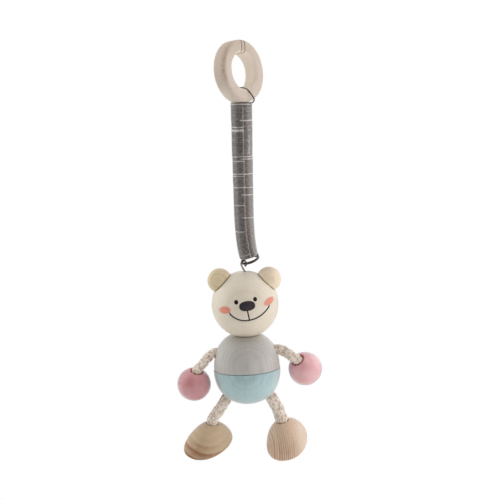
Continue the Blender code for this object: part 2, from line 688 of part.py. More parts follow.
for side, sign in (("left", -1), ("right", 1)):
    foot = FEET[side]
    exit_point = seam + body_right * leg_aside * sign - body_up * leg_drop
    out = body_right * math.sin(LEG_ANGLE) * sign - body_up * math.cos(LEG_ANGLE)
    free = [exit_point + Vector(p) * MM for p in foot["route"]]
    yaw, pitch, roll = (math.radians(a) for a in foot["turn"])
    turn = Matrix.Rotation(yaw, 3, "Z") @ Matrix.Rotation(pitch, 3, "Y") @ Matrix.Rotation(roll, 3, "X")
    sole = exit_point + foot["sole"]
    hole = foot["hole"]
    mouth = sole + turn @ Vector((-FOOT_HOLE_BACK, 0, foot_top(-FOOT_HOLE_BACK)))
    bottom = mouth - hole * FOOT_BORE_DEPTH
    hip = cord_joint("hip_" + side, exit_point, free[0], "figure_swing")
    ankle = cord_joint("ankle_" + side, mouth, free[-1], hip)
    leg_bore = LEG_CORD_RADIUS + CORD_PLAY
    bore(lower, "leg_bore_" + side, exit_point + out * leg_bore, exit_point - out * LEG_BORE_DEPTH, leg_bore)
    route = ([exit_point - out * (LEG_BORE_DEPTH - GAP), exit_point - out * LEG_BORE_DEPTH / 2, exit_point]
             + free + [mouth + hole * 0.8 * MM, mouth.lerp(bottom, 0.5), bottom + hole * GAP])
    tube("leg_cord_" + side, smooth_route(route, 2.4 * MM), LEG_CORD_RADIUS, 3, hip, COTTON)
    obj = mesh_object("foot_" + side, foot_mesh("foot_" + side))
    put(obj, sole, turn, ankle, FOOT_WOOD)
    bore(obj, "foot_bore_" + side, mouth, bottom, leg_bore)
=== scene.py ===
"""The looks of a hanging wooden bear: a ring, a close-wound spring and a figure with cord limbs.

Each section makes one piece, or a group of like pieces, in the order in which the toy is put
together from its ring down. Everything is in metres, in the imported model's own frame.
"""
import json
import math

import bmesh
import bpy
import numpy as np
from mathutils import Matrix, Vector


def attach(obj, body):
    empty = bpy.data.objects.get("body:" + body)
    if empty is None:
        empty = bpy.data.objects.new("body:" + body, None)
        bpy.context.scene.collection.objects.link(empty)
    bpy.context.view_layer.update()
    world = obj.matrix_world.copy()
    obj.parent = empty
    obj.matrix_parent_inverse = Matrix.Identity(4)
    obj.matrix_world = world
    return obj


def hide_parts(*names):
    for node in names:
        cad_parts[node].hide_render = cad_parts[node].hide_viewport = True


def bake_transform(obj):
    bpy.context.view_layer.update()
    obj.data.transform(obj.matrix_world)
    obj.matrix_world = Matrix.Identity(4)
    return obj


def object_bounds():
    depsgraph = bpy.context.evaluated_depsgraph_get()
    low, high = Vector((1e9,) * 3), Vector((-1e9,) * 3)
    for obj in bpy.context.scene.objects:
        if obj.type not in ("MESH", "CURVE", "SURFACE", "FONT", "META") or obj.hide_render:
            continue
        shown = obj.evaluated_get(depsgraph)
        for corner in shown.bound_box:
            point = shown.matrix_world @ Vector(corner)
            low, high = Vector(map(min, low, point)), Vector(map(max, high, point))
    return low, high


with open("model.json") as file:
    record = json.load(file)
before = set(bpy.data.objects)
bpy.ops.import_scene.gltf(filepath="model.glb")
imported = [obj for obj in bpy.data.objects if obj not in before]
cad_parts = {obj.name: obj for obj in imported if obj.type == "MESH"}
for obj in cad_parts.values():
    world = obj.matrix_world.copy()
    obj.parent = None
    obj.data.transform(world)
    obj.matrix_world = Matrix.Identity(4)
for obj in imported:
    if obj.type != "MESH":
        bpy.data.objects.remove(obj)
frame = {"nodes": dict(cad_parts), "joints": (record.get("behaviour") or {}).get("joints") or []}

cad_box = [list(corner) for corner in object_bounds()]
MM = 0.001
UP = Vector((0, 0, 1))
PIVOT = {joint["name"]: Vector(joint["pos_m"]) for joint in frame["joints"] if "pos_m" in joint}


# Studio
# The toy hangs in the middle of a white studio: soft boxes on both sides and above, weak ones low
# in front, white all round behind it, a tall window in its shine and a pale floor far below.
CAMERA_PLACE = Vector((4.92, -1284.41, 90.66)) * MM
LOOK_AT = Vector((4.92, -1.13, -117.18)) * MM
CAMERA_ROLL = math.radians(-1.75)
LENS = 157.0                    # mm, on a 36 mm sensor
FLOOR_DROP = 118 * MM           # from feet to floor, more than the spring stretches
FLOOR_SIZE = 6.0
BACK_LIGHT = 0.570              # of the white behind the toy
RIGHT_LIGHT = 0.550             # and of the white on its right
WINDOW_SHINE = 2.15             # of what the toy mirrors: the window,
BACK_SHINE = 0.20               # the white behind it,
LEFT_SHINE = 0.20               # a glow on its left
LEAST_SHINE = 0.01              # and the dark before it
BOXES = {                       # place, width and height in metres, power, colour
    "right_box": ((1.05, 0.25, 0.0), (0.9, 1.2), 3.5, (1.0, 0.985, 0.97)),
    "right_front_box": ((0.95, -0.45, 0.0), (0.9, 1.2), 0.8, (1, 1, 1)),
    "left_box": ((-1.05, 0.25, 0.0), (0.9, 1.2), 9.0, (0.975, 1.0, 0.975)),
    "top_box": ((-0.2, -0.20, 1.0), (1.0, 0.8), 7.0, (1, 1, 1)),
    "under_box": ((0.25, -0.75, -0.27), (1.0, 0.12), 1.6, (1, 1, 1)),
    "right_under_box": ((0.75, -0.10, -0.27), (0.12, 1.0), 2.0, (1, 1, 1)),
}


def put(name, data):
    """A new object in the scene, from a camera, a lamp or a mesh."""
    made = bpy.data.objects.new(name, data)
    bpy.context.scene.collection.objects.link(made)
    return made


camera_data = bpy.data.cameras.new("camera")
camera_data.lens = LENS
camera_data.clip_end = 20
camera = put("camera", camera_data)
camera.location = CAMERA_PLACE
facing = (LOOK_AT - CAMERA_PLACE).to_track_quat("-Z", "Y").to_matrix()
camera.rotation_euler = (facing @ Matrix.Rotation(CAMERA_ROLL, 3, "Z")).to_euler()
bpy.context.scene.camera = camera
bpy.context.scene.view_settings.view_transform = "Standard"


class Tone:
    """A value, colour or vector of a material's nodes; arithmetic on it adds the nodes."""

    def __init__(self, tree, socket=None):
        self.tree = tree
        self.socket = socket

    def node(self, kind, settings, links, output=0):
        """Adds a node: its settings first, then the values or links of its sockets."""
        made = self.tree.nodes.new("ShaderNode" + kind)
        for name, value in settings.items():
            setattr(made, name, value)
        for name, value in links.items():
            if isinstance(value, Tone):
                self.tree.links.new(value.socket, made.inputs[name])
            else:
                made.inputs[name].default_value = value
        return Tone(self.tree, made.outputs[output] if made.outputs else None)

    def maths(self, operation, *values):
        return self.node("Math", {"operation": operation}, dict(enumerate(values)))

    def __add__(self, other):
        return self.maths("ADD", self, other)

    def __sub__(self, other):
        return self.maths("SUBTRACT", self, other)

    def __rsub__(self, other):
        return self.maths("SUBTRACT", other, self)

    def __mul__(self, other):
        return self.maths("MULTIPLY", self, other)

    def __truediv__(self, other):
        return self.maths("DIVIDE", self, other)

    def __rtruediv__(self, other):
        return self.maths("DIVIDE", other, self)

    __radd__ = __add__
    __rmul__ = __mul__

    def __abs__(self):
        return self.maths("ABSOLUTE", self)

    def power(self, exponent):
        return self.maths("POWER", self, exponent)

    def most(self, other):
        return self.maths("MAXIMUM", self, other)

    def size(self, *others):
        """The length of the vector that has this value and the others as its parts."""
        total = self * self
        for other in others:
            total = total + other * other
        return total.maths("SQRT", total)

    def rise(self, low, high):
        """0 up to low, 1 from high on, and smooth between; it falls where low is over high."""
        links = {"Value": self, "From Min": min(low, high), "From Max": max(low, high)}
        risen = self.node("MapRange", {"interpolation_type": "SMOOTHSTEP"}, links)
        return risen if low < high else 1 - risen

    def mix(self, first, second):
        """From one colour to the other, by this value."""
        links = {0: self}
        for socket, colour in ((6, first), (7, second)):
            links[socket] = colour if isinstance(colour, Tone) else (*colour, 1)
        return self.node("Mix", {"data_type": "RGBA"}, links, 2)

    def along(self, direction, start=(0, 0, 0)):
        """How far a place lies along a direction from the start."""
        moved = self.node("VectorMath", {"operation": "SUBTRACT"}, {0: self, 1: tuple(start)})
        links = {0: moved, 1: tuple(direction)}
        return self.node("VectorMath", {"operation": "DOT_PRODUCT"}, links, "Value")

    def vector(self, y=0.0, z=0.0):
        return self.node("CombineXYZ", {}, {"X": self, "Y": y, "Z": z})

    def noise(self, scale, detail=2.0, roughness=0.5):
        links = {"Vector": self, "Scale": scale, "Detail": detail, "Roughness": roughness}
        return self.node("TexNoise", {}, links)

    def ray(self, kind):
        """1 for the light rays of a kind, such as those that the camera sees."""
        return self.node("LightPath", {}, {}, "Is " + kind + " Ray")


world = bpy.data.worlds.new("studio")
bpy.context.scene.world = world
world.use_nodes = True
world.node_tree.nodes.clear()
sky = Tone(world.node_tree)
glossy_ray = sky.ray("Glossy")
seen = sky.ray("Camera").most(sky.ray("Transmission"))
heading = sky.node("TexCoord", {}, {}, "Generated")
depth = heading.along((0, 1, 0))
aside = heading.along((1, 0, 0))
lit = depth.rise(0.0, 1.0) * BACK_LIGHT + aside.rise(0.2, 1.0) * RIGHT_LIGHT
from_window = aside + depth * 0.30        # 0 towards a tall narrow window
window = (from_window * from_window).rise(0.0065, 0.0012) * depth.rise(-0.1, -0.4)
left_glow = aside.rise(-0.2, -0.7) * depth.rise(-0.5, -0.05) * depth.rise(0.40, 0.10)
round_it = (depth + aside * 0.10).rise(-0.72, 0.05) * (aside.rise(-0.3, 0.6) * 0.58 + 0.58)
mirrored = glossy_ray * (round_it + left_glow * LEFT_SHINE + depth.rise(0.3, 1.0) * BACK_SHINE
                         + window * WINDOW_SHINE + LEAST_SHINE)
strength = seen.most(mirrored).most((1 - seen) * (1 - glossy_ray) * lit)
warm = (glossy_ray * depth.rise(0.1, -0.7)).mix((1, 1, 1), (1.0, 0.80, 0.73))
background = sky.node("Background", {}, {"Color": warm, "Strength": strength})
sky.node("OutputWorld", {}, {"Surface": background})


for name, (place, size, power, colour) in BOXES.items():
    lamp = bpy.data.lights.new(name, "AREA")
    lamp.shape = "RECTANGLE"
    lamp.size, lamp.size_y = size
    lamp.energy = power
    lamp.color = colour
    box = put(name, lamp)
    box.location = place
    box.rotation_euler = (LOOK_AT - Vector(place)).to_track_quat("-Z", "Y").to_euler()
    box.visible_glossy = False


def new_material(name, roughness, **fixed):
    """A material with its fixed values set, the place on the piece as a tone, and its shader."""
    made = bpy.data.materials.new(name)
    made.use_nodes = True
    shader = made.node_tree.nodes["Principled BSDF"]
    shader.inputs["Roughness"].default_value = roughness
    for key, value in fixed.items():
        shader.inputs[key.replace("_", " ")].default_value = value
    return made, Tone(made.node_tree).node("TexCoord", {}, {}, "Object"), shader


floor_mesh = bpy.data.meshes.new("floor")
half = FLOOR_SIZE / 2
floor_mesh.from_pydata([(-half, -half, 0), (half, -half, 0), (half, half, 0), (-half, half, 0)],
                       [], [(0, 1, 2, 3)])
floor = put("floor", floor_mesh)
floor.location.z = cad_box[0][2] - FLOOR_DROP
floor_paint, floor_tone, floor_shader = new_material(
    "white_floor", 0.9, Base_Color=(0.86, 0.86, 0.86, 1))
plain = floor_tone.ray("Camera").most(floor_tone.ray("Glossy") * 0.25)
painted = Tone(floor_tone.tree, floor_shader.outputs[0])
white = floor_tone.node("Emission", {}, {"Strength": 1.0})
floor_mix = floor_tone.node("MixShader", {}, {0: plain, 1: painted, 2: white})
floor_end = floor_tone.tree.nodes["Material Output"]
floor_tone.tree.links.new(floor_mix.socket, floor_end.inputs["Surface"])
floor_mesh.materials.append(floor_paint)


# Ring
# A turned ring of pale beech with rounded edges, left raw. It was sawn open at its top for the
# spring and closed again with a glued wooden key, whose two joints show as thin lines.
RING_RADIUS = 18.5 * MM
RING_WALL = 7.7 * MM
RING_WIDTH = 9.5 * MM
RING_EDGE = 2.1 * MM            # radius of the rounded edges
RING_AXIS = Vector((0.77605, -0.60850, 0.16574))
RING_SIDE = Vector((0.61704, 0.78694, 0.0))
KEY_WIDTH = 2.6 * MM
KEY_ANGLE = math.radians(9)
GLUE_LINE = 0.22 * MM
RING_BROWN_BAND = (3.1, 18.2)         # mm along its axis and from it, where a brown band lies along its edge


def smooth(mesh, sharp):
    """Smooth faces, but for the edges that bend by more than an angle in degrees."""
    mesh.shade_smooth()
    mesh.set_sharp_from_angle(angle=math.radians(sharp))


def write_back(shape, mesh, sharp=15):
    """Gives a mesh its edited shape, with all faces turned outwards."""
    bmesh.ops.recalc_face_normals(shape, faces=shape.faces)
    shape.to_mesh(mesh)
    shape.free()
    smooth(mesh, sharp)


def skin(name, rings, sharp=15, weld=0.002 * MM):
    """A closed mesh through rings of points, with capped ends."""
    rings = np.array(rings, float)
    rows, around = rings.shape[:2]
    faces = []
    for low in range(0, (rows - 1) * around, around):
        high = low + around
        faces += [(low + j, low + (j + 1) % around, high + (j + 1) % around, high + j)
                  for j in range(around)]
    faces += [range(around - 1, -1, -1), range((rows - 1) * around, rows * around)]
    mesh = bpy.data.meshes.new(name)
    mesh.from_pydata(rings.reshape(-1, 3).tolist(), [], [tuple(face) for face in faces])
    shape = bmesh.new()
    shape.from_mesh(mesh)
    bmesh.ops.remove_doubles(shape, verts=shape.verts, dist=weld)
    write_back(shape, mesh, sharp)
    return put(name, mesh)


def arc(radius, start, end, steps, centre=(0, 0)):
    """Points of an arc in a profile's plane; its angles are in degrees."""
    angles = np.radians(np.linspace(start, end, steps + 1))
    return [(centre[0] + radius * math.cos(a), centre[1] + radius * math.sin(a)) for a in angles]


def finish(piece, body, slot, material, *nodes):
    """Gives a piece its material, its place on a body and the nodes that it stands for."""
    piece.data.materials.append(material)
    if body:
        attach(piece, body)
    if nodes:
        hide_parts(*nodes)


def feed(shader, **tones):
    """Links tones to the shader's own sockets."""
    for key, tone in tones.items():
        tone.tree.links.new(tone.socket, shader.inputs[key.replace("_", " ")])


def bumped(tone, strength, distance):
    links = {"Strength": strength, "Distance": distance, "Height": tone}
    return tone.node("Bump", {}, links)


def wood(name, pale, late, heart, fibre, spacing, rings=0.3, streaks=0.35, flecks=0.2,
         roughness=0.5, wobble=0.9, uneven=0.8, fade=None, wax=0.0, fuzz=0.0):
    """Turned wood. Its growth rings lie round the tree's heart line, which runs along the fibre;
    streaks and flecks run along the fibre too. A fade is a direction, a start, two distances from
    it between which the wood grows darker, how much darker, and the share of the rings that shows
    only there. Also returns the wood's shader, place and colour."""
    made, place, shader = new_material(name, roughness, Coat_Weight=wax, Coat_Roughness=0.35,
                                       Sheen_Weight=fuzz, Sheen_Roughness=0.35)
    z = Vector(fibre).normalized()
    sawn = Vector((0.31, -0.95, 0.11))
    x = (sawn - z * z.dot(sawn)).normalized()
    y = z.cross(x)
    across, deep, length = (place.along(d, heart) for d in (x, y, z))
    slow = place.noise(70, 2.0, 0.5)
    bend = (slow - 0.5) * (wobble * 2 * MM)
    steps = (across.size(deep) + bend) / spacing
    year = steps.vector().noise(0.9, 1.0)
    part = steps.maths("FRACT", steps + year * uneven)
    ring = part.rise(0.15, 0.86) * part.rise(1.0, 0.88) * (year.rise(0.25, 0.75) * 0.6 + 0.4)
    if fade:
        direction, start, low, high, darker, share = fade
        grown = place.along(direction, start).rise(low, high)
        ring = ring * (grown * share + (1 - share)) + grown * grown * darker
    fine = across.vector(deep, length * 0.035).noise(2600, 2.0, 0.6)
    broad = across.vector(deep, length * 0.10).noise(620, 2.0, 0.5)
    fleck = across.vector(deep, length * 0.12).noise(1900, 1.0, 0.5).rise(0.60, 0.70)
    dark = ring * rings + (fine - 0.5) * streaks + (broad - 0.5) * streaks
    dark = dark + fleck * flecks + (slow - 0.5) * 0.25
    colour = dark.rise(-0.15, 1.0).mix(pale, late)
    feed(shader, Base_Color=colour, Normal=bumped(fine * 0.7 + ring * 0.3, 0.12, 0.06 * MM))
    return made, shader, place, colour


ring_centre = PIVOT["ring_turn"]
ring_up = RING_AXIS.cross(RING_SIDE)
ring_inner = RING_RADIUS - RING_WALL
corner = RING_WIDTH / 2 - RING_EDGE
ring_section = (
    arc(RING_EDGE, 90, 0, 9, (RING_RADIUS - RING_EDGE, corner))
    + arc(RING_EDGE, 0, -90, 9, (RING_RADIUS - RING_EDGE, -corner))
    + arc(RING_EDGE, -90, -180, 9, (ring_inner + RING_EDGE, -corner))
    + arc(RING_EDGE, 180, 90, 9, (ring_inner + RING_EDGE, corner)))


def ring_part(name, first, last, steps):
    """A stretch of the ring between two sawn faces, each at a distance from the key's middle."""
    rings = []
    for share in np.linspace(0, 1, steps + 1):
        row = []
        for radius, height in ring_section:
            start = math.asin(first / radius)
            end = math.asin(last / radius) + (2 * math.pi if last <= 0 else 0)
            angle = KEY_ANGLE + start + (end - start) * share
            out = ring_up * math.cos(angle) + RING_SIDE * math.sin(angle)
            row.append(ring_centre + out * radius + RING_AXIS * height)
        rings.append(row)
    return skin(name, rings, sharp=35)


saw_half = KEY_WIDTH / 2 + GLUE_LINE
ring_wood, ring_shader, ring_place, ring_colour = wood(
    "raw_ring_wood", (0.695, 0.59, 0.50), (0.52, 0.37, 0.265), ring_centre + Vector((0, 0, -0.05)),
    RING_AXIS * 0.3 + RING_SIDE, 1.7 * MM, rings=0.16, streaks=0.4, roughness=0.62)


def from_centre(direction):
    return ring_place.along(direction, ring_centre)


ring_out, ring_height = from_centre(RING_AXIS), from_centre(UP)
ring_rim = from_centre(RING_SIDE).size(from_centre(ring_up))
# A brown band in patches along the ring's edge on its left.
brown_band = (ring_out / MM - RING_BROWN_BAND[0]).size(ring_rim / MM - RING_BROWN_BAND[1]).rise(2.9, 0.3)
brown_band = brown_band * from_centre(RING_SIDE).rise(-4 * MM, -14 * MM) * ring_height.rise(-7 * MM, 0)
brown_band = brown_band * (ring_place.noise(900, 3.0).rise(0.2, 0.8) * 0.7)
# The ring darker towards its top.
top_darker = ring_height.rise(7 * MM, 17 * MM) * 0.20
bore = ring_rim.rise(12.4 * MM, 11.2 * MM) * 0.75
# Painted light: the ring's lower left paler, for light bounced up from below.
painted_bounce_light = ring_height.rise(-5 * MM, -13 * MM) * 0.6 * from_centre((1, 0, 0)).rise(-2 * MM, -9 * MM)
key_side = RING_SIDE * math.cos(KEY_ANGLE) - ring_up * math.sin(KEY_ANGLE)
key_out = ring_up * math.cos(KEY_ANGLE) + RING_SIDE * math.sin(KEY_ANGLE)
from_glue = abs(abs(from_centre(key_side)) - KEY_WIDTH / 2 - GLUE_LINE / 2)
glued = from_glue.rise(0.55 * MM, 0.18 * MM) * from_centre(key_out).rise(0, 2 * MM) * 0.9
for stain, stained in ((top_darker, (0.45, 0.31, 0.21)), (bore, (0.90, 0.79, 0.68)),
                       (brown_band, (0.42, 0.265, 0.165)), (painted_bounce_light, (0.90, 0.78, 0.67)),
                       (glued, (0.20, 0.115, 0.07))):
    ring_colour = stain.mix(ring_colour, stained)
feed(ring_shader, Base_Color=ring_colour)
finish(ring_part("wooden_ring", saw_half, -saw_half, 240), "ring", "ring_wood", ring_wood,
       "hanging_ring")
finish(ring_part("glued_key", -KEY_WIDTH / 2, KEY_WIDTH / 2 * 0.999, 8), "ring", "ring_wood",
       ring_wood, "ring_key")


# Spring
# A close-wound extension spring of bright steel wire, each turn lying on the next. Its top end
# is bent round the ring. Its last two turns are splayed out as the hook that holds the figure.
WIRE = 0.71 * MM
HOOK_WIRE = 0.80 * MM           # of the bent ends, whose steel is painted darker, as shade
COIL_TOP_DIAMETER = 13.0 * MM   # outside
COIL_END_DIAMETER = 11.4 * MM
COIL_LENGTH = 92.41 * MM
COIL_TURNS = 129.79
TURN_POINTS = 30
COIL_DRIFT = 1.62 * MM          # how far it leans to the left on its way down
COIL_PULL = 3.5 * MM            # how far its lower end is pulled over
COIL_PULL_POWER = 8
COIL_PULL_TURN = math.radians(34.9)
COIL_START_ANGLE = math.radians(-38.1)
COIL_TOP = Vector((2.49, -1.10, -28.88)) * MM
COIL_STEPS = [(0.11, 0.12), (0.35, 0.20), (0.52, 0.12)]  # share of the way down, mm aside
COIL_STEP_SHARPNESS = 300
TURN_STRAY = 0.010 * MM
# Painted highlights on the turns: bands of paler, less metallic steel, given in mm under the
# coil's top, half their height in mm, and their side, which is left (-1), right (1) or both (0).
PAINTED_GLINTS = [
    (0.5, 0.35, 0), (10.1, 0.5, 1), (14.1, 0.35, -1), (15.9, 1.05, -1), (31.5, 0.4, 0),
    (32.9, 0.35, 1), (34.2, 0.35, -1), (41.8, 0.4, 0), (43.1, 0.3, -1), (49.9, 0.4, 0),
    (54.2, 0.35, 1), (60.6, 0.3, -1), (68.0, 0.3, 1), (76.5, 0.35, -1),
]
HOOK_ROUTE = [                  # mm, from its free end over the ring's inner wall
    (-0.5, 0.4, -29.6), (-1.1, 0.8, -27.6), (-1.3, 1.0, -24.3), (-0.9, 0.7, -22.6),
    (0.2, -0.2, -20.9), (2.3, -1.8, -20.15), (4.1, -3.1, -20.2), (5.8, -4.35, -20.8),
    (7.45, -5.25, -22.4), (8.8, -5.8, -24.35), (9.8, -5.9, -26.0), (10.1, -5.4, -27.2),
    (9.6, -4.3, -28.3), (8.8, -3.6, -29.0),
]
LID_RADIUS = 5.4 * MM           # of the splayed turns, which hang open like a lid
LID_PITCH = 0.78 * MM
LID_TURNS = 2
LID_DROOP = math.radians(19.8)
LID_FROM_COIL = Vector((1.05, 1.00, -2.15)) * MM
LID_BLEND = math.radians(65)


def run_along(points):
    """How far each point of a route lies from its first, along the route."""
    return np.concatenate([[0], np.cumsum(np.linalg.norm(np.diff(points, axis=0), axis=1))])


def smooth_route(points, spacing):
    """Even points along a smooth curve through the route's own points."""
    p = [np.array(q, float) for q in points]
    p = [2 * p[0] - p[1]] + p + [2 * p[-1] - p[-2]]
    fine = []
    for a, b, c, d in zip(p, p[1:], p[2:], p[3:]):
        for t in np.linspace(0, 1, 24, endpoint=False):
            fine.append(0.5 * (2 * b + (c - a) * t + (2 * a - 5 * b + 4 * c - d) * t ** 2
                               + (3 * b - a - 3 * c + d) * t ** 3))
    fine = np.array(fine + [p[-2]])
    run = run_along(fine)
    wanted = np.linspace(0, run[-1], max(3, round(run[-1] / spacing) + 1))
    return np.stack([np.interp(wanted, run, fine[:, k]) for k in range(3)], 1)


def frames_along(points, first_side):
    """At each point of a route, its two directions across, carried along without twist."""
    points = np.array(points, float)
    tangents = np.gradient(points, axis=0)
    tangents /= np.linalg.norm(tangents, axis=1)[:, None]
    side = np.array(first_side, float)
    sides = []
    for tangent in tangents:
        side = side - tangent * side.dot(tangent)
        side /= np.linalg.norm(side)
        sides.append(side)
    sides = np.array(sides)
    return points, sides, np.cross(tangents, sides)


def wire_tube(name, points, radius, sides, first_side=(0, 0, 1)):
    middle, one, two = frames_along(points, first_side)
    angles = np.arange(sides) * 2 * math.pi / sides
    rings = [p + radius * (np.outer(np.cos(angles), a) + np.outer(np.sin(angles), b))
             for p, a, b in zip(middle, one, two)]
    return skin(name, rings, sharp=60)


shake = np.random.default_rng(7)
loose = shake.normal(0, 1, int(COIL_TURNS) + 6)
pull_side = Vector((math.cos(COIL_PULL_TURN), math.sin(COIL_PULL_TURN), 0))


def coil_axis(f):
    """A point of the coil's axis; f runs from 0 at the top to 1 at the end."""
    return (COIL_TOP + Vector((-COIL_DRIFT * f, 0, -COIL_LENGTH * f))
            + pull_side * COIL_PULL * max(0, f) ** COIL_PULL_POWER)


def coil_point(turn, wander=1.0):
    """A point of the wire's middle; each turn strays a little from its neighbours."""
    f = turn / COIL_TURNS
    down = (coil_axis(f + 0.004) - coil_axis(f - 0.004)).normalized()
    across = (Vector((1, 0, 0)) - down * down.x).normalized()
    number = max(0.0, turn)
    low = int(number)
    stray = (loose[low] * (low + 1 - number) + loose[low + 1] * (number - low)) * wander
    radius = (COIL_TOP_DIAMETER + (COIL_END_DIAMETER - COIL_TOP_DIAMETER) * f - WIRE) / 2
    radius += stray * TURN_STRAY
    angle = COIL_START_ANGLE - turn * 2 * math.pi
    around = across * math.cos(angle) + across.cross(down) * math.sin(angle)
    stepped = sum(size * MM / (1 + math.exp((at - f) * COIL_STEP_SHARPNESS))
                  for at, size in COIL_STEPS)
    return coil_axis(f) + across * stepped + around * radius


spring_steel, steel_place, steel_shader = new_material("spring_steel", 0.3, Metallic=1.0)
steel_high = steel_place.along(UP)
steel_down = (COIL_TOP.z - steel_high) / MM
steel_aside = steel_place.along((1, 0, 0), COIL_TOP) / MM + steel_down * 0.015
steel_smear = steel_place.noise(420, 3.0, 0.6)
steel_turn = steel_high.vector().noise(900, 2.0, 0.7)
upper = steel_down.rise(38, 26)
steel_dull = ((steel_smear.rise(0.3, 0.8) - 0.5) * (upper * 0.6 + 0.15)
              + (steel_turn.rise(0.35, 0.65) - 0.5) * (upper * 0.8 + 0.15) + 0.42)
# A pale streak down the coil, painted in with the highlights.
pale_streak = abs(steel_aside + (steel_smear - 0.5) * 3 - 4.3).rise(0.8, 0.2)
pale_streak = pale_streak * steel_down.rise(16, 21) * steel_down.rise(33, 28)
painted_glint = pale_streak * 0.45
# Painted highlights: bands where the steel is painted paler and less metallic.
for below, half_height, hand in PAINTED_GLINTS:
    line = abs(steel_down - below - abs(steel_aside) * 0.06).rise(half_height, half_height * 0.4)
    if hand:
        line = line * (steel_aside * hand).rise(-1.6, -0.2)
    painted_glint = painted_glint.most(line)
painted_glint = painted_glint * (steel_smear.rise(0.2, 0.6) * 0.5 + 0.5)
steel_colour = steel_dull.mix((0.35, 0.325, 0.31), (0.54, 0.515, 0.495))
feed(steel_shader, Base_Color=painted_glint.mix(steel_colour, (0.85, 0.83, 0.81)),
     Metallic=1 - painted_glint * 0.65, Roughness=steel_smear * 0.10 + 0.13)

coil_steps = round(COIL_TURNS * TURN_POINTS)
coil_wire = [coil_point(COIL_TURNS * i / coil_steps) for i in range(coil_steps + 1)]
coil = wire_tube("coil", coil_wire, WIRE / 2, 8)
finish(coil, None, "spring_steel", spring_steel, "spring_coil")
coil_axis(0)
coil_axis(0.985)
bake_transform(coil)

# Painted shade: the bent ends are the coil's own steel, painted darker.
shaded_bent_steel, bent_place, bent_shader = new_material("shaded_bent_steel", 0.3, Metallic=1.0)
bent_shaded_tone = bent_place.noise(500, 3.0, 0.6).rise(0.3, 0.8)
feed(bent_shader, Base_Color=bent_shaded_tone.mix((0.12, 0.10, 0.092), (0.25, 0.222, 0.208)))
hook_route = smooth_route([Vector(p) * MM for p in HOOK_ROUTE] + [coil_wire[0], coil_wire[3]],
                          0.35 * MM)
finish(wire_tube("ring_hook", hook_route, HOOK_WIRE / 2, 12), "spring", "spring_steel", shaded_bent_steel,
       "spring_upper_hook")

lid_centre = coil_axis(1) + LID_FROM_COIL
lid_down = -pull_side * math.cos(LID_DROOP) - UP * math.sin(LID_DROOP)
lid_across = Vector((math.sin(COIL_PULL_TURN), -math.cos(COIL_PULL_TURN), 0))
lid_axis = lid_across.cross(lid_down)


def lid_point(angle):
    """A point of the splayed turns; the angle runs on from the coil's end."""
    share = min(1, max(0, angle / LID_BLEND))
    share = share * share * (3 - 2 * share)
    climb = LID_PITCH * (angle / (2 * math.pi) - LID_TURNS / 2)
    lid = (lid_centre + lid_axis * climb
           + (lid_across * math.sin(angle) - lid_down * math.cos(angle)) * LID_RADIUS)
    return coil_point(COIL_TURNS + angle / (2 * math.pi), 0.0).lerp(lid, share)


lid_wire = [lid_point(a) for a in np.radians(np.arange(-10, 360 * LID_TURNS + 1, 7.5))]
finish(wire_tube("figure_hook", lid_wire, HOOK_WIRE / 2, 12), "hook", "spring_steel", shaded_bent_steel,
       "spring_lower_hook")


# Screw eye
# A small zinc-plated screw eye, turned into the top of the head. The spring's last turns pass
# through its loop.
EYE_WIRE = 1.2 * MM
EYE_RADIUS = 1.8 * MM
EYE_SAG = 0.15 * MM
EYE_FOOT = Vector((0.39, 0.27, -5.05)) * MM  # from the pivot, where the shank enters the wood
EYE_LEAN = math.radians(27)
EYE_OPEN = math.radians(-62)    # where the loop's free end stops
EYE_SCREW = 7.0 * MM
BODY_TILT = math.radians(1.4)   # of the whole figure, to the left

swing = PIVOT["figure_swing"]
body_up = Vector((-math.sin(BODY_TILT), 0, math.cos(BODY_TILT)))
body_right = Vector((math.cos(BODY_TILT), 0, math.sin(BODY_TILT)))
upright = Matrix((body_right, body_up.cross(body_right), body_up)).transposed()
eye_centre = swing - UP * EYE_SAG
eye_loop = [eye_centre + (pull_side * math.cos(a) + UP * math.sin(a)) * EYE_RADIUS
            for a in np.linspace(EYE_OPEN, math.pi + EYE_LEAN, 40)]
eye_foot = swing + EYE_FOOT
eye_shank = smooth_route([eye_loop[-3], eye_loop[-1], eye_loop[-1].lerp(eye_foot, 0.5), eye_foot,
                          eye_foot - body_up * EYE_SCREW], 0.3 * MM)
zinc, zinc_place, zinc_shader = new_material("zinc_plate", 0.28, Metallic=1.0)
zinc_cloud = zinc_place.noise(900, 3.0, 0.6)
feed(zinc_shader, Base_Color=zinc_cloud.rise(0.3, 0.7).mix((0.15, 0.14, 0.14), (0.60, 0.59, 0.58)),
     Roughness=zinc_cloud * 0.3 + 0.12)
eye_route = [np.array(p) for p in eye_loop] + list(eye_shank[3:])
finish(wire_tube("eye", eye_route, EYE_WIRE / 2, 14, pull_side.cross(UP)), "figure", "eye_steel",
       zinc, "screw_eye")


# Head
# A ball of pale beech, turned, sanded and oiled, with a flat to stand on and a flat for each ear.
# The face is printed on it: two eyes, a nose, a line down to a smile, and two soft cheeks.
BALL_RADIUS = 20.0 * MM
HEAD_TOP = 19.5 * MM
HEAD_NECK = 18.6 * MM
HEAD_FROM_PIVOT = Vector((0.067, -0.127, -24.564)) * MM
EAR_FLAT = 18.6 * MM
EAR_ANGLES = {"left": math.radians(-43.5), "right": math.radians(46)}
FACE_OUT = Vector((0.042, -0.9912, 0.1252))
FACE_RIGHT = Vector((0.9907, 0.0575, 0.123))
FACE_UP = Vector((-0.1291, 0.1189, 0.9845))
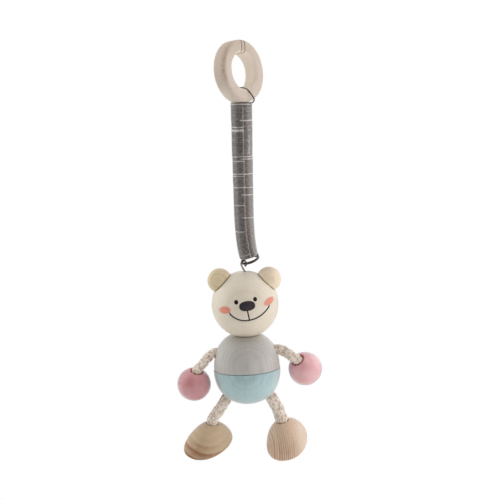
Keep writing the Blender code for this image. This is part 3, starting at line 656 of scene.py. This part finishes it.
# The face's marks have their places and sizes in mm, right and up of its middle.
EYE_SPOTS = [(-5.62, 3.07), (5.69, 3.07)]
EYE_SPOT_SIZE = (1.17, 1.35)
NOSE = (0.40, -0.20)
NOSE_SIZE = (4.75, 2.95)
NOSE_POWER = 2.3                # 2 is an oval, and more is squarer
LINE_FROM, LINE_TO = (0.10, -2.6), (0.44, -8.6)
SMILE = [                       # two arcs: middle, radius, left end and right end
    ((-0.37, 2.95), 11.69, -10.65, -0.9),
    ((0.10, 8.60), 17.35, -0.9, 13.75),
]
STROKE = 0.43                   # half the width of a painted line
CHEEKS = [((-12.8, -0.62), (3.3, 2.2), -8), ((13.72, 0.25), (3.45, 1.95), 27)]
INK = (0.004, 0.002, 0.001)


def lathe(name, profile, place, turn, steps=144, sharp=15):
    """A turned piece; its profile runs from top to bottom, in distance from the axis and height."""
    angles = np.arange(steps) * 2 * math.pi / steps
    turn = np.array(turn)
    rings = []
    for radius, height in profile:
        flat = np.stack([radius * np.cos(angles), radius * np.sin(angles),
                         np.full(steps, height)], 1)
        rings.append(flat @ turn.T + np.array(place))
    return skin(name, rings, sharp=sharp)


def aimed(out):
    """The turn that points a turned piece's axis in a direction."""
    side = out.cross(Vector((0, 1, 0))).normalized()
    return Matrix((side, out.cross(side), out)).transposed()


def slice_off(piece, place, out):
    """Cuts away what lies past a plane, and closes the cut."""
    shape = bmesh.new()
    shape.from_mesh(piece.data)
    everything = shape.verts[:] + shape.edges[:] + shape.faces[:]
    bmesh.ops.bisect_plane(shape, geom=everything, plane_co=place, plane_no=out, clear_outer=True)
    bmesh.ops.edgeloop_fill(shape, edges=[e for e in shape.edges if e.is_boundary])
    write_back(shape, piece.data)


head_centre = swing + HEAD_FROM_PIVOT
top_angle = math.degrees(math.asin(HEAD_TOP / BALL_RADIUS))
neck_angle = math.degrees(math.asin(HEAD_NECK / BALL_RADIUS))
head_profile = ([(0, HEAD_TOP)] + arc(BALL_RADIUS, top_angle, -neck_angle, 96) + [(0, -HEAD_NECK)])
head = lathe("turned_head", head_profile, head_centre, upright)
ear_out = {side: body_up * math.cos(angle) + body_right * math.sin(angle)
           for side, angle in EAR_ANGLES.items()}
for out in ear_out.values():
    slice_off(head, head_centre + out * EAR_FLAT, out)

head_wood, face_shader, face_place, face_colour = wood(
    "face_wood", (0.864, 0.774, 0.642), (0.646, 0.494, 0.353),
    head_centre + Vector((0, 0.055, 0.004)), (0.05, 0.1, 1), 2.1 * MM, rings=0.20, streaks=0.30,
    flecks=0.12, roughness=0.42, wax=0.2)
right_of, above = (face_place.along(d, head_centre) / MM for d in (FACE_RIGHT, FACE_UP))
ragged = (face_place.noise(2400, 2.0, 0.6) - 0.5) * 0.10
before = face_place.along(FACE_OUT, head_centre).rise(0.0, 2 * MM)


def oval(middle, size, lean, soft):
    """1 inside a leaning oval, with an edge as soft as given, as a share of its size."""
    lean = math.radians(lean)
    x, y = right_of - middle[0], above - middle[1]
    long = (x * math.cos(lean) + y * math.sin(lean)) / size[0]
    short = (y * math.cos(lean) - x * math.sin(lean)) / size[1]
    return (long.size(short) + ragged).rise(1 + soft, 1 - soft)


def stroke(off, soft):
    """1 near a line, whose distance is given, with a slightly ragged edge."""
    return (abs(off) + ragged * 0.8).rise(STROKE + soft, STROKE - 0.12)


def between(value, low, high):
    return value.rise(low - 0.1, low + 0.1) * value.rise(high + 0.1, high - 0.1)


for middle, size, lean in CHEEKS:
    blush = oval(middle, size, lean, 0.22) * before
    streaky = face_place.noise(1500, 3.0, 0.7).rise(0.2, 0.75) * 0.22 + 0.76
    face_colour = (blush * streaky).mix(face_colour, (0.83, 0.235, 0.145))
ink = oval(EYE_SPOTS[0], EYE_SPOT_SIZE, 0, 0.05).most(oval(EYE_SPOTS[1], EYE_SPOT_SIZE, 0, 0.05))
for (x0, y0), radius, first, last in SMILE:
    smile = stroke((right_of - x0).size(above - y0) - radius, 0.12) * above.rise(y0 + 0.1, y0 - 0.1)
    ink = ink.most(smile * between(right_of, first, last))
slope = (LINE_TO[0] - LINE_FROM[0]) / (LINE_TO[1] - LINE_FROM[1])
from_line = right_of - LINE_FROM[0] - (above - LINE_FROM[1]) * slope
ink = ink.most(stroke(from_line, 0.10) * between(above, LINE_TO[1], LINE_FROM[1]))
nose_x, nose_y = (right_of - NOSE[0]) / NOSE_SIZE[0], (above - NOSE[1]) / NOSE_SIZE[1]
nose_y = nose_y * ((above - NOSE[1]).rise(-1.0, 1.0) * -0.04 + 1.03)
nose_round = (abs(nose_x).power(NOSE_POWER) + abs(nose_y).power(NOSE_POWER)).power(1 / NOSE_POWER)
nose_round = nose_round + ragged * 0.3
nose = nose_round.rise(1.04, 0.97)
nose_dust = face_place.noise(2600, 3.0, 0.7).rise(0.35, 0.75) * 0.6 + 0.4
nose_colour = (nose_round.rise(0.90, 0.80) * nose_dust).mix((0.012, 0.010, 0.012),
                                                            (0.040, 0.028, 0.042))
face_colour = (ink * before).mix(face_colour, INK)
face_colour = (nose * before).mix(face_colour, nose_colour)
feed(face_shader, Base_Color=face_colour)
finish(head, "figure", "pale_wood", head_wood, "head")


# Ears
# Two small turned balls of the same wood, cut flat and glued to the head's flats. The glue shows
# as a thin brown line.
EAR_RADIUS = 7.35 * MM
EAR_CUT = 2.0 * MM
EAR_EDGE = 0.30 * MM
GLUE_GAP = 0.22 * MM
EAR_TONES_AS_LIT = {                   # pale and late wood, and mm from ring to ring; the right ear's painted paler, as painted light
    "left": ((0.804, 0.667, 0.451), (0.51, 0.376, 0.202), 1.9),
    "right": ((0.95, 0.80, 0.61), (0.75, 0.54, 0.35), 1.7),
}

rim = math.sqrt(EAR_RADIUS ** 2 - EAR_CUT ** 2)
cut_angle = -math.degrees(math.asin(EAR_CUT / EAR_RADIUS))
ear_profile = arc(EAR_RADIUS, 90, cut_angle + 3, 40) + [
    (rim - EAR_EDGE * 0.3, -EAR_CUT + EAR_EDGE * 0.4), (rim - EAR_EDGE, -EAR_CUT), (0, -EAR_CUT)]
for side, out in ear_out.items():
    ear_place = head_centre + out * (EAR_FLAT + GLUE_GAP + EAR_CUT)
    across = body_up.cross(body_right)
    ear_turn = Matrix((across.cross(out), across, out)).transposed()
    pale, late, spacing = EAR_TONES_AS_LIT[side]
    ear_wood, ear_shader, place, colour = wood(
        "ear_wood_" + side, pale, late, ear_place - out * 6 * MM + Vector((0, 0.03, 0)),
        (0.2, 0.1, 1), spacing * MM, rings=0.4, flecks=0.15, roughness=0.45, wax=0.2)
    squeezed = place.along(out, ear_place - out * EAR_CUT).rise(0.40 * MM, 0.12 * MM) * 0.8
    feed(ear_shader, Base_Color=squeezed.mix(colour, (0.22, 0.12, 0.06)))
    finish(lathe("turned_ear_" + side, ear_profile, ear_place, ear_turn, 96), "figure", "ear_wood",
           ear_wood, "ear_" + side)


# Body
# Two turned halves of one ball, stained apart and glued at the seam: the upper one pearl grey,
# the lower one mint. The arms' cord passes through the upper half, and the legs' cords end in the
# lower one.
SEAM_FROM_PIVOT = Vector((0.028, -0.127, -63.876)) * MM
UPPER_RADIUS = 19.75 * MM
UPPER_DOME = 22.5 * MM
UPPER_HEIGHT = 20.4 * MM
UPPER_POWER = 2.3
LOWER_HEIGHT = 21.3 * MM
LOWER_POWER = 2.2
SEAM_GAP = 0.15 * MM            # from the seam's middle to each half
SEAM_EDGE = 0.22 * MM
ARM_HEIGHT = 10.7 * MM
ARM_EXIT = 18.5 * MM
ARM_HOLE = 3.45 * MM
LEG_HOLE = 3.8 * MM
LEG_ASIDE, LEG_DROP = 12.9 * MM, 17.13 * MM
LEG_ANGLE = math.radians(32)
ARM_DRILLED, LEG_DRILLED = 8 * MM, 9 * MM
HOLE_EDGE = 0.7 * MM            # radius of a hole's rounded edge


def dome(radius, height, power, cut_at, steps):
    """A superellipse from its flat or its pole down to the seam."""
    start = math.asin((cut_at / height) ** (power / 2))
    return [(radius * math.cos(a) ** (2 / power), height * math.sin(a) ** (2 / power))
            for a in np.linspace(start, 0, steps + 1)]


def drill(piece, name, mouth, out, radius, depth, edge):
    """Drills a blind hole with a rounded edge at the mouth."""
    flare = [(radius + 4 * edge, 3 * edge)] + [
        (radius + edge - edge * math.cos(a), edge * math.sin(a) - edge)
        for a in np.radians(np.linspace(90, 0, 7))]
    profile = [(0, 3 * edge)] + flare + [(radius, -depth), (0, -depth)]
    cutter = lathe(name, profile, mouth, aimed(out), 64)
    change = piece.modifiers.new(name, "BOOLEAN")
    change.object = cutter
    change.solver = "EXACT"
    bpy.context.view_layer.update()
    graph = bpy.context.evaluated_depsgraph_get()
    mesh = bpy.data.meshes.new_from_object(piece.evaluated_get(graph), depsgraph=graph)
    piece.modifiers.clear()
    piece.data = mesh
    smooth(mesh, 30)
    bpy.data.objects.remove(cutter)


seam = swing + SEAM_FROM_PIVOT
arm_middle = seam + body_up * ARM_HEIGHT


def leg_exit(sign):
    """Where a leg's cord leaves the wood, and in which direction."""
    out = body_right * math.sin(LEG_ANGLE) * sign - body_up * math.cos(LEG_ANGLE)
    return seam + body_right * LEG_ASIDE * sign - body_up * LEG_DROP, out


upper_outline = dome(UPPER_RADIUS, UPPER_DOME, UPPER_POWER, UPPER_HEIGHT, 90)[:-1]
upper_outline = [p for p in upper_outline if p[1] > SEAM_GAP + SEAM_EDGE]
upper_profile = ([(0, UPPER_HEIGHT)] + upper_outline
                 + arc(SEAM_EDGE, 0, -90, 4, (UPPER_RADIUS - SEAM_EDGE, SEAM_GAP + SEAM_EDGE))
                 + [(0, SEAM_GAP)])
upper = lathe("upper_half", upper_profile, seam, upright)
for sign in (-1, 1):
    drill(upper, "arm_drill", arm_middle + body_right * (ARM_EXIT - 0.2 * MM) * sign,
          body_right * sign, ARM_HOLE, ARM_DRILLED, HOLE_EDGE)
grey_wood = wood("pearl_grey_stain", (0.57, 0.541, 0.511), (0.38, 0.337, 0.313),
                 seam + Vector((-0.002, 0.060, 0.011)), (0.06, 0.1, 1), 1.5 * MM, rings=0.32,
                 streaks=0.42, flecks=0.22, roughness=0.45, wax=0.5, fuzz=0.5)[0]
finish(upper, "figure", "grey_stain", grey_wood, "upper_body")

lower_outline = dome(BALL_RADIUS, LOWER_HEIGHT, LOWER_POWER, LOWER_HEIGHT, 100)
lower_outline = [(x, -z) for x, z in reversed(lower_outline) if z > SEAM_GAP + SEAM_EDGE]
lower_profile = ([(0, -SEAM_GAP)]
                 + arc(SEAM_EDGE, 90, 0, 4, (BALL_RADIUS - SEAM_EDGE, -SEAM_GAP - SEAM_EDGE))
                 + lower_outline)
lower = lathe("lower_half", lower_profile, seam, upright)
for sign in (-1, 1):
    drill(lower, "leg_drill", *leg_exit(sign), LEG_HOLE, LEG_DRILLED, HOLE_EDGE)
mint_wood, mint_shader, mint_place, mint_colour = wood(
    "mint_stain", (0.498, 0.664, 0.678), (0.281, 0.413, 0.441),
    seam + Vector((0.002, 0.070, -0.030)), (0.03, 0.1, 1), 1.9 * MM, rings=0.26, streaks=0.50,
    flecks=0.22, roughness=0.45, wax=0.5, fuzz=0.9, fade=(UP, seam, -14 * MM, -1 * MM, 1.1, 0.0))
# Painted light: the lower half paler towards its right side, for a rim light from the right.
painted_rim_light = mint_place.along(body_right, seam).rise(13 * MM, 20 * MM) * 0.5
feed(mint_shader, Base_Color=painted_rim_light.mix(mint_colour, (0.72, 0.87, 0.87)))
finish(lower, "figure", "mint_stain", mint_wood, "lower_body")


# Hidden pieces
# The dowels that pin the head, the ears and the two halves, and the middle of the arms' cord,
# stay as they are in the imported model, with the raw wood and the cotton they are made of.
raw_dowel = wood("dowel_wood", (0.74, 0.63, 0.48), (0.56, 0.42, 0.28), swing, (0, 0, 1), 2 * MM,
                 roughness=0.7)[0]


def dress(node, material):
    frame["nodes"][node].data.materials.clear()
    frame["nodes"][node].data.materials.append(material)


for node in ("neck_dowel", "body_dowel", "ear_dowel_left", "ear_dowel_right"):
    dress(node, raw_dowel)


# Cords
# The arms and legs are round braided cotton cord, six and seven millimetres thick, pushed into
# the holes with glue. The braid's stitches are modelled as small domes laid like bricks.
ARM_CORD = 3.0 * MM             # radius
LEG_CORD = 3.35 * MM
ARM_FLARE = 0.25 * MM           # how far the arms' cord spreads at the hand
LEG_FLARE = 0.4 * MM            # and the legs' cord at the foot
FLARE_OUT = 1.2 * MM            # from the hole to where it is widest
FLARE_LENGTH = 1.3 * MM
LEG_CORD_IN = 8.7 * MM          # how deep the legs' cord sits in the body
COLUMNS = 13                    # of stitches round the cord
COLUMN_POINTS = 8
ROWS = 64                       # of unlike stitches, before they repeat
STITCH = 1.35 * MM              # along the cord, from one row of stitches to the next
STITCH_RISE = 0.70 * MM
STITCH_HALF = (0.62, 0.72)      # a stitch's half width and half length, in columns and rows
STITCH_STRAY = 0.16             # and how far it strays from its place
STITCH_SIZES = (0.45, 1.0)
BRAID_WANDER = 0.2              # of its rows, in rows
CORD_LUMPS = 0.08 * MM
FREE_FROM = 2 * MM              # from a hole to where the cord has swollen by its slack
CORD_STEP = 0.2 * MM
CORE_END = 13.5 * MM            # where the arms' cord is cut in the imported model
HAND_RADIUS = 10.1 * MM
HAND_RIM = 4.6 * MM
HAND_BORE_END = 1.1 * MM
BEND_REACH = 3.4 * MM           # a distance each way from its joint, along the cord
# In mm from where the cord leaves the body: its free route, and the middle of the hand or of the
# foot's sole. The slack is how much the free cord swells, and the hole points out of the far end.
LIMB = {
    "arm_left": {
        "route": [(-2.1, -0.1, -0.9), (-5.4, -0.6, -3.7), (-8.4, -1.5, -7.1)], "slack": 0.05,
        "far": (-13.4, 0.6, -19.1), "hole": (0.186, -0.288, 0.935)},
    "arm_right": {
        "route": [(3.0, -0.3, -0.7), (6.2, -1.3, -2.35), (9.3, -2.2, -4.45)], "slack": 0.30,
        "far": (16.8, 3.1, -13.1), "hole": (-0.481, -0.511, 0.712)},
    "leg_left": {
        "route": [(-4.6, -0.3, -6.9), (-8.6, -0.4, -12.4)], "slack": 0.25,
        "far": (-12.4, 1.5, -28.35), "hole": (0.10, -0.28, 0.955)},
    "leg_right": {
        "route": [(4.3, -0.3, -8.2), (5.8, -0.4, -13.2)], "slack": 0.60,
        "far": (9.5, 0.8, -29.05), "hole": (-0.15, -0.30, 0.942)},
}
FOOT_LENGTH = 32.3 * MM
FOOT_WIDTH = 25.2 * MM
FOOT_HEIGHT = 12.95 * MM
FOOT_PLAN_POWER = 2.19
FOOT_SIDE_POWER = 1.62
FOOT_TOE_DROP = 0.218
SOLE_EDGE = 1.25 * MM
SOLE_TUCK = 0.10
FOOT_HOLE_BACK = 5.96 * MM
FOOT_BORE = 7.5 * MM
FOOT_TURN = {"leg_left": (-138.0, 21.8, -14.5), "leg_right": (-94.7, 31.0, 11.6)}


def foot_point(side_angle, plan_angle):
    """A point of the foot's upper surface, from its angles up from the sole and round it."""
    cosine, sine = math.cos(plan_angle), math.sin(plan_angle)
    in_plan = math.cos(side_angle) ** (2 / FOOT_SIDE_POWER)
    x = math.copysign(abs(cosine) ** (2 / FOOT_PLAN_POWER), cosine) * in_plan
    y = math.copysign(abs(sine) ** (2 / FOOT_PLAN_POWER), sine) * in_plan
    rise = FOOT_HEIGHT * math.sin(side_angle) ** (2 / FOOT_SIDE_POWER)
    return Vector((FOOT_LENGTH / 2 * x, FOOT_WIDTH / 2 * y, rise * (1 - FOOT_TOE_DROP * x)))


thread = np.random.default_rng(11)
stitch_size = thread.uniform(*STITCH_SIZES, (COLUMNS, ROWS))
stitch_aside, stitch_along = thread.uniform(-STITCH_STRAY, STITCH_STRAY, (2, COLUMNS, ROWS))


def braid(around, along):
    """Height of the braid, from 0 in its hollows to 1, at places counted in columns and stitches.
    Its stitches are small domes laid like bricks, no two of them quite alike."""
    height = np.zeros_like(around)
    for over in (-1, 0, 1):
        row = np.floor(along).astype(int) + over
        place = around - row % 2 * 0.5
        for beside in (0, 1):
            column = np.floor(place).astype(int) + beside
            stitch = (column % COLUMNS, row % ROWS)
            x = (place - column - stitch_aside[stitch]) / STITCH_HALF[0]
            y = (along - row - 0.5 - stitch_along[stitch]) / STITCH_HALF[1]
            bulge = np.sqrt(np.clip(1 - x * x - y * y, 0, 1))
            height = np.maximum(height, bulge * stitch_size[stitch])
    return height


def nearest(points, place):
    return int(np.argmin(np.linalg.norm(points - np.array(place), axis=1)))


def cord_piece(name, points, first_side, radii, start_run):
    """A stretch of braided cord, with the braid's height kept on its points for painted hollow
    shade.
    """
    middle, one, two = frames_along(points, first_side)
    run = start_run + run_along(middle)
    steps = np.arange(COLUMNS * COLUMN_POINTS) + 0.5
    angles = steps * 2 * math.pi / len(steps)
    around, along = np.meshgrid(steps / COLUMN_POINTS, run / STITCH)
    wander = np.sin(along * 0.83 + np.sin(angles)[None, :] * 1.4) * BRAID_WANDER
    height = braid(around, along + wander)
    lumps = np.sin(along * 1.9 + 3.1 * np.cos(angles)[None, :]) * CORD_LUMPS
    reach = radii[:, None] - STITCH_RISE * (1 - height) + lumps
    rings = (middle[:, None, :]
             + reach[..., None] * (np.cos(angles)[None, :, None] * one[:, None, :]
                                   + np.sin(angles)[None, :, None] * two[:, None, :]))
    piece = skin(name, rings, sharp=180, weld=0)
    depth = piece.data.attributes.new("braid_height", "FLOAT", "POINT")
    depth.data.foreach_set("value", height.reshape(-1).astype(np.float32))
    return piece


cotton, cotton_place, cotton_shader = new_material(
    "braided_cotton", 0.9, Sheen_Weight=0.6, Sheen_Roughness=0.5)
cotton_high = cotton_place.node("Attribute", {"attribute_name": "braid_height"}, {}, "Fac")
cotton_fuzz = cotton_place.noise(3800, 3.0, 0.7)
cotton_speck = cotton_place.noise(1400, 2.0, 0.6)
# Painted shade: the cotton darker in the braid's hollows, with random specks of tone.
hollow_shade_and_specks = (cotton_high + (cotton_speck - 0.5) * 0.9).rise(0.15, 0.75)
feed(cotton_shader, Base_Color=hollow_shade_and_specks.mix((0.52, 0.36, 0.25), (0.97, 0.86, 0.755)),
     Normal=bumped(cotton_fuzz, 0.5, 0.12 * MM))
dress("arm_cord_core", cotton)


def turned_foot(limb):
    """Yaw, pitch and roll of a foot, as a matrix."""
    turn = Matrix.Identity(3)
    for angle, axis in zip(FOOT_TURN[limb], "ZYX"):
        turn = turn @ Matrix.Rotation(math.radians(angle), 3, axis)
    return turn


rim_depth = math.sqrt(HAND_RADIUS ** 2 - HAND_RIM ** 2)  # from a hand's middle to its hole's rim
for limb, facts in LIMB.items():
    part, side = limb.split("_")
    sign = -1 if side == "left" else 1
    hole = Vector(facts["hole"]).normalized()
    if part == "arm":
        radius, spread, joints, end = ARM_CORD, ARM_FLARE, ("shoulder_", "wrist_"), "hand_"
        start = arm_middle + body_right * ARM_EXIT * sign
        middle = start + Vector(facts["far"]) * MM
        mouth = middle + hole * rim_depth
        bottom = middle + hole * HAND_BORE_END
        route = [arm_middle + body_right * CORE_END * sign, start]
        ends = [mouth - hole * 0.4 * MM, mouth.lerp(bottom, 0.5), bottom]
    else:
        radius, spread, joints, end = LEG_CORD, LEG_FLARE, ("hip_", "ankle_"), "foot_"
        start, out = leg_exit(sign)
        middle = start + Vector(facts["far"]) * MM
        crest = math.acos((FOOT_HOLE_BACK / (FOOT_LENGTH / 2)) ** (FOOT_SIDE_POWER / 2))
        mouth = middle + turned_foot(limb) @ foot_point(crest, math.pi)
        bottom = mouth - hole * FOOT_BORE
        route = [start - out * LEG_CORD_IN, start - out * 4.5 * MM, start]
        ends = [mouth + hole * 0.8 * MM, mouth.lerp(bottom, 0.5), bottom + hole * 0.3 * MM]
    facts.update(middle=middle, mouth=mouth, hole=hole)
    route = route + [start + Vector(p) * MM for p in facts["route"]] + ends
    points = smooth_route(route, CORD_STEP)
    near, far = (PIVOT[joint + side] for joint in joints)
    split = nearest(points, (near + far) / 2)
    first = np.array((0.0, 1.0, 0.0))
    sides = frames_along(points, first)[1]
    run = run_along(points)
    from_wood, to_mouth = run - run[nearest(points, start)], run[nearest(points, mouth)] - run
    free = np.clip(from_wood / FREE_FROM, 0, 1) * np.clip(to_mouth / FREE_FROM, 0, 1)
    flare = np.exp(-((to_mouth - FLARE_OUT) / FLARE_LENGTH) ** 2) * spread
    radii = radius + free * facts["slack"] * MM + flare
    inner = cord_piece(limb + "_braid_inner", points[:split + 1], first, radii[:split + 1], 0.0)
    outer = cord_piece(limb + "_braid_outer", points[split:], sides[split], radii[split:],
                       run[split])
    for piece, neighbour, pivot, way in ((inner, "figure", near, -1), (outer, end + side, far, 1)):
        finish(piece, None, "cotton_cord", cotton, part + "_cord_" + side)
        place = nearest(points, pivot)
        heading = Vector(points[place + 1] - points[place - 1]).normalized()
        reach = heading * BEND_REACH * way
        pivot - reach
        pivot + reach
        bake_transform(piece)


# Hands
# Two small turned balls in pink satin lacquer, drilled for the cord, with the hole's edge rounded.
HAND_HOLE = 3.3 * MM
LIP_SHADE = 0.6 * MM                  # of the hole's edge, painted deeper red as shade
LACQUER_AS_LIT = {                     # where it is deep and where it is pale; the right hand's painted paler, as painted light
    "left": ((0.632, 0.262, 0.27), (0.714, 0.326, 0.338)),
    "right": ((0.886, 0.447, 0.467), (0.958, 0.534, 0.547)),
}


def lacquered(name, deep, pale, centre, turn):
    """Pink lacquer over beech: cloudy, satin, with the grain just felt under it and painted shade
    round the hole.
    """
    made, place, shader = new_material(name, 0.33, Coat_Weight=1.0, Coat_Roughness=0.2,
                                       Sheen_Weight=1.0, Sheen_Roughness=0.4,
                                       Sheen_Tint=(0.80, 0.84, 1.0, 1))
    cloud = place.noise(190, 3.0, 0.6)
    grain = place.along((0.2, 0.1, 1)).vector().noise(900, 2.0)
    colour = (cloud * 0.7 + grain * 0.3).rise(0.3, 0.7).mix(deep, pale)
    across, deep_in, up_hole = (place.along(direction, centre) for direction in turn.col)
    # Painted shade: the hole's edge deeper red, for the shade in the gap round the cord.
    hole_shade = across.size(deep_in).rise(HAND_RIM, HAND_RIM - LIP_SHADE) * up_hole.rise(0.0, MM)
    feed(shader, Base_Color=hole_shade.mix(colour, (0.56, 0.105, 0.10)), Roughness=cloud * 0.12 + 0.26,
         Normal=bumped(place.noise(1300, 2.0), 0.06, 0.05 * MM))
    return made


rim_round = HAND_RIM - HAND_HOLE
rim_angle = math.degrees(math.asin(rim_depth / HAND_RADIUS))
hand_profile = [(0, HAND_BORE_END - 0.3 * MM), (HAND_HOLE, HAND_BORE_END - 0.3 * MM),
                (HAND_HOLE, rim_depth - rim_round * 1.2)]
hand_profile += arc(rim_round, 180, 100, 6, (HAND_RIM, rim_depth - rim_round))[1:]
hand_profile += arc(HAND_RADIUS, rim_angle - 3, -90, 80)

for side, tones in LACQUER_AS_LIT.items():
    centre = LIMB["arm_" + side]["middle"]
    turn = aimed(LIMB["arm_" + side]["hole"])
    lacquer = lacquered("pink_lacquer_" + side, *tones, centre, turn)
    finish(lathe("ball_hand_" + side, hand_profile, centre, turn, 120, 35), "hand_" + side,
           "pink_lacquer", lacquer, "hand_" + side)


# Feet
# Two half-egg feet of beech with flat soles and rounded edges, drilled for the cord and oiled.
# The left one is cut across the tree's rings, which show as broad bands; the right one is cut
# along them, which gives fine upright lines.
PLAN_STEPS = 120                # round the foot
RISE_STEPS = 43                 # from its top down to the sole's edge
EDGE_STEPS = 8                  # round the sole's edge

for side in ("left", "right"):
    facts = LIMB["leg_" + side]
    sole, mouth, hole = facts["middle"], facts["mouth"], facts["hole"]
    turn = turned_foot("leg_" + side)
    plan = np.arange(PLAN_STEPS) * 2 * math.pi / PLAN_STEPS
    rings = []
    for up_angle in np.linspace(math.pi / 2, 0, RISE_STEPS + 1):
        rings.append([sole + turn @ foot_point(up_angle, a) for a in plan])
    for edge in np.radians(np.linspace(12, 90, EDGE_STEPS)):
        inward = 1 - SOLE_TUCK * (1 - math.cos(edge))
        sink = Vector((0, 0, -SOLE_EDGE * math.sin(edge)))
        rings.append([sole + turn @ (foot_point(0, a) * inward + sink) for a in plan])
    foot = skin("half_egg_foot_" + side, rings, sharp=40)
    drill(foot, "foot_drill", mouth + hole * 0.1 * MM, hole, LEG_HOLE, FOOT_BORE, 0.5 * MM)
    if side == "left":
        hollow = mouth + Vector((-2.6, 0, 0.6)) * MM
        foot_wood = wood(
            "foot_wood_left", (0.651, 0.493, 0.323), (0.33, 0.137, 0.058), hollow,
            (0.10, -1, 0.06), -4.42 * MM, rings=0.55, streaks=0.28, flecks=0.12, wobble=0.4,
            uneven=0.04, wax=0.2, fuzz=0.4,
            fade=((-0.35, 0, -0.94), hollow, 5 * MM, 20 * MM, 0.80, 0.8))[0]
    else:
        foot_wood, shader, place, colour = wood(
            "foot_wood_right", (0.84, 0.635, 0.465), (0.43, 0.20, 0.105),
            sole + Vector((0.060, 0.010, 0.0)), (-0.05, 0.25, 1), 1.15 * MM, rings=0.62,
            streaks=0.40, wobble=0.4, uneven=0.3, wax=0.2, fuzz=0.4,
            fade=((0.1, 0, -1), mouth, -4 * MM, 22 * MM, 0.30, 0.5))
        # Painted light: the right foot paler towards its right side, for light from the right.
        painted_side_light = place.along((1, 0, 0), mouth).rise(5 * MM, 11 * MM) * 0.35
        feed(shader, Base_Color=painted_side_light.mix(colour, (0.90, 0.78, 0.68)))
    finish(foot, "foot_" + side, "foot_wood", foot_wood, "foot_" + side)
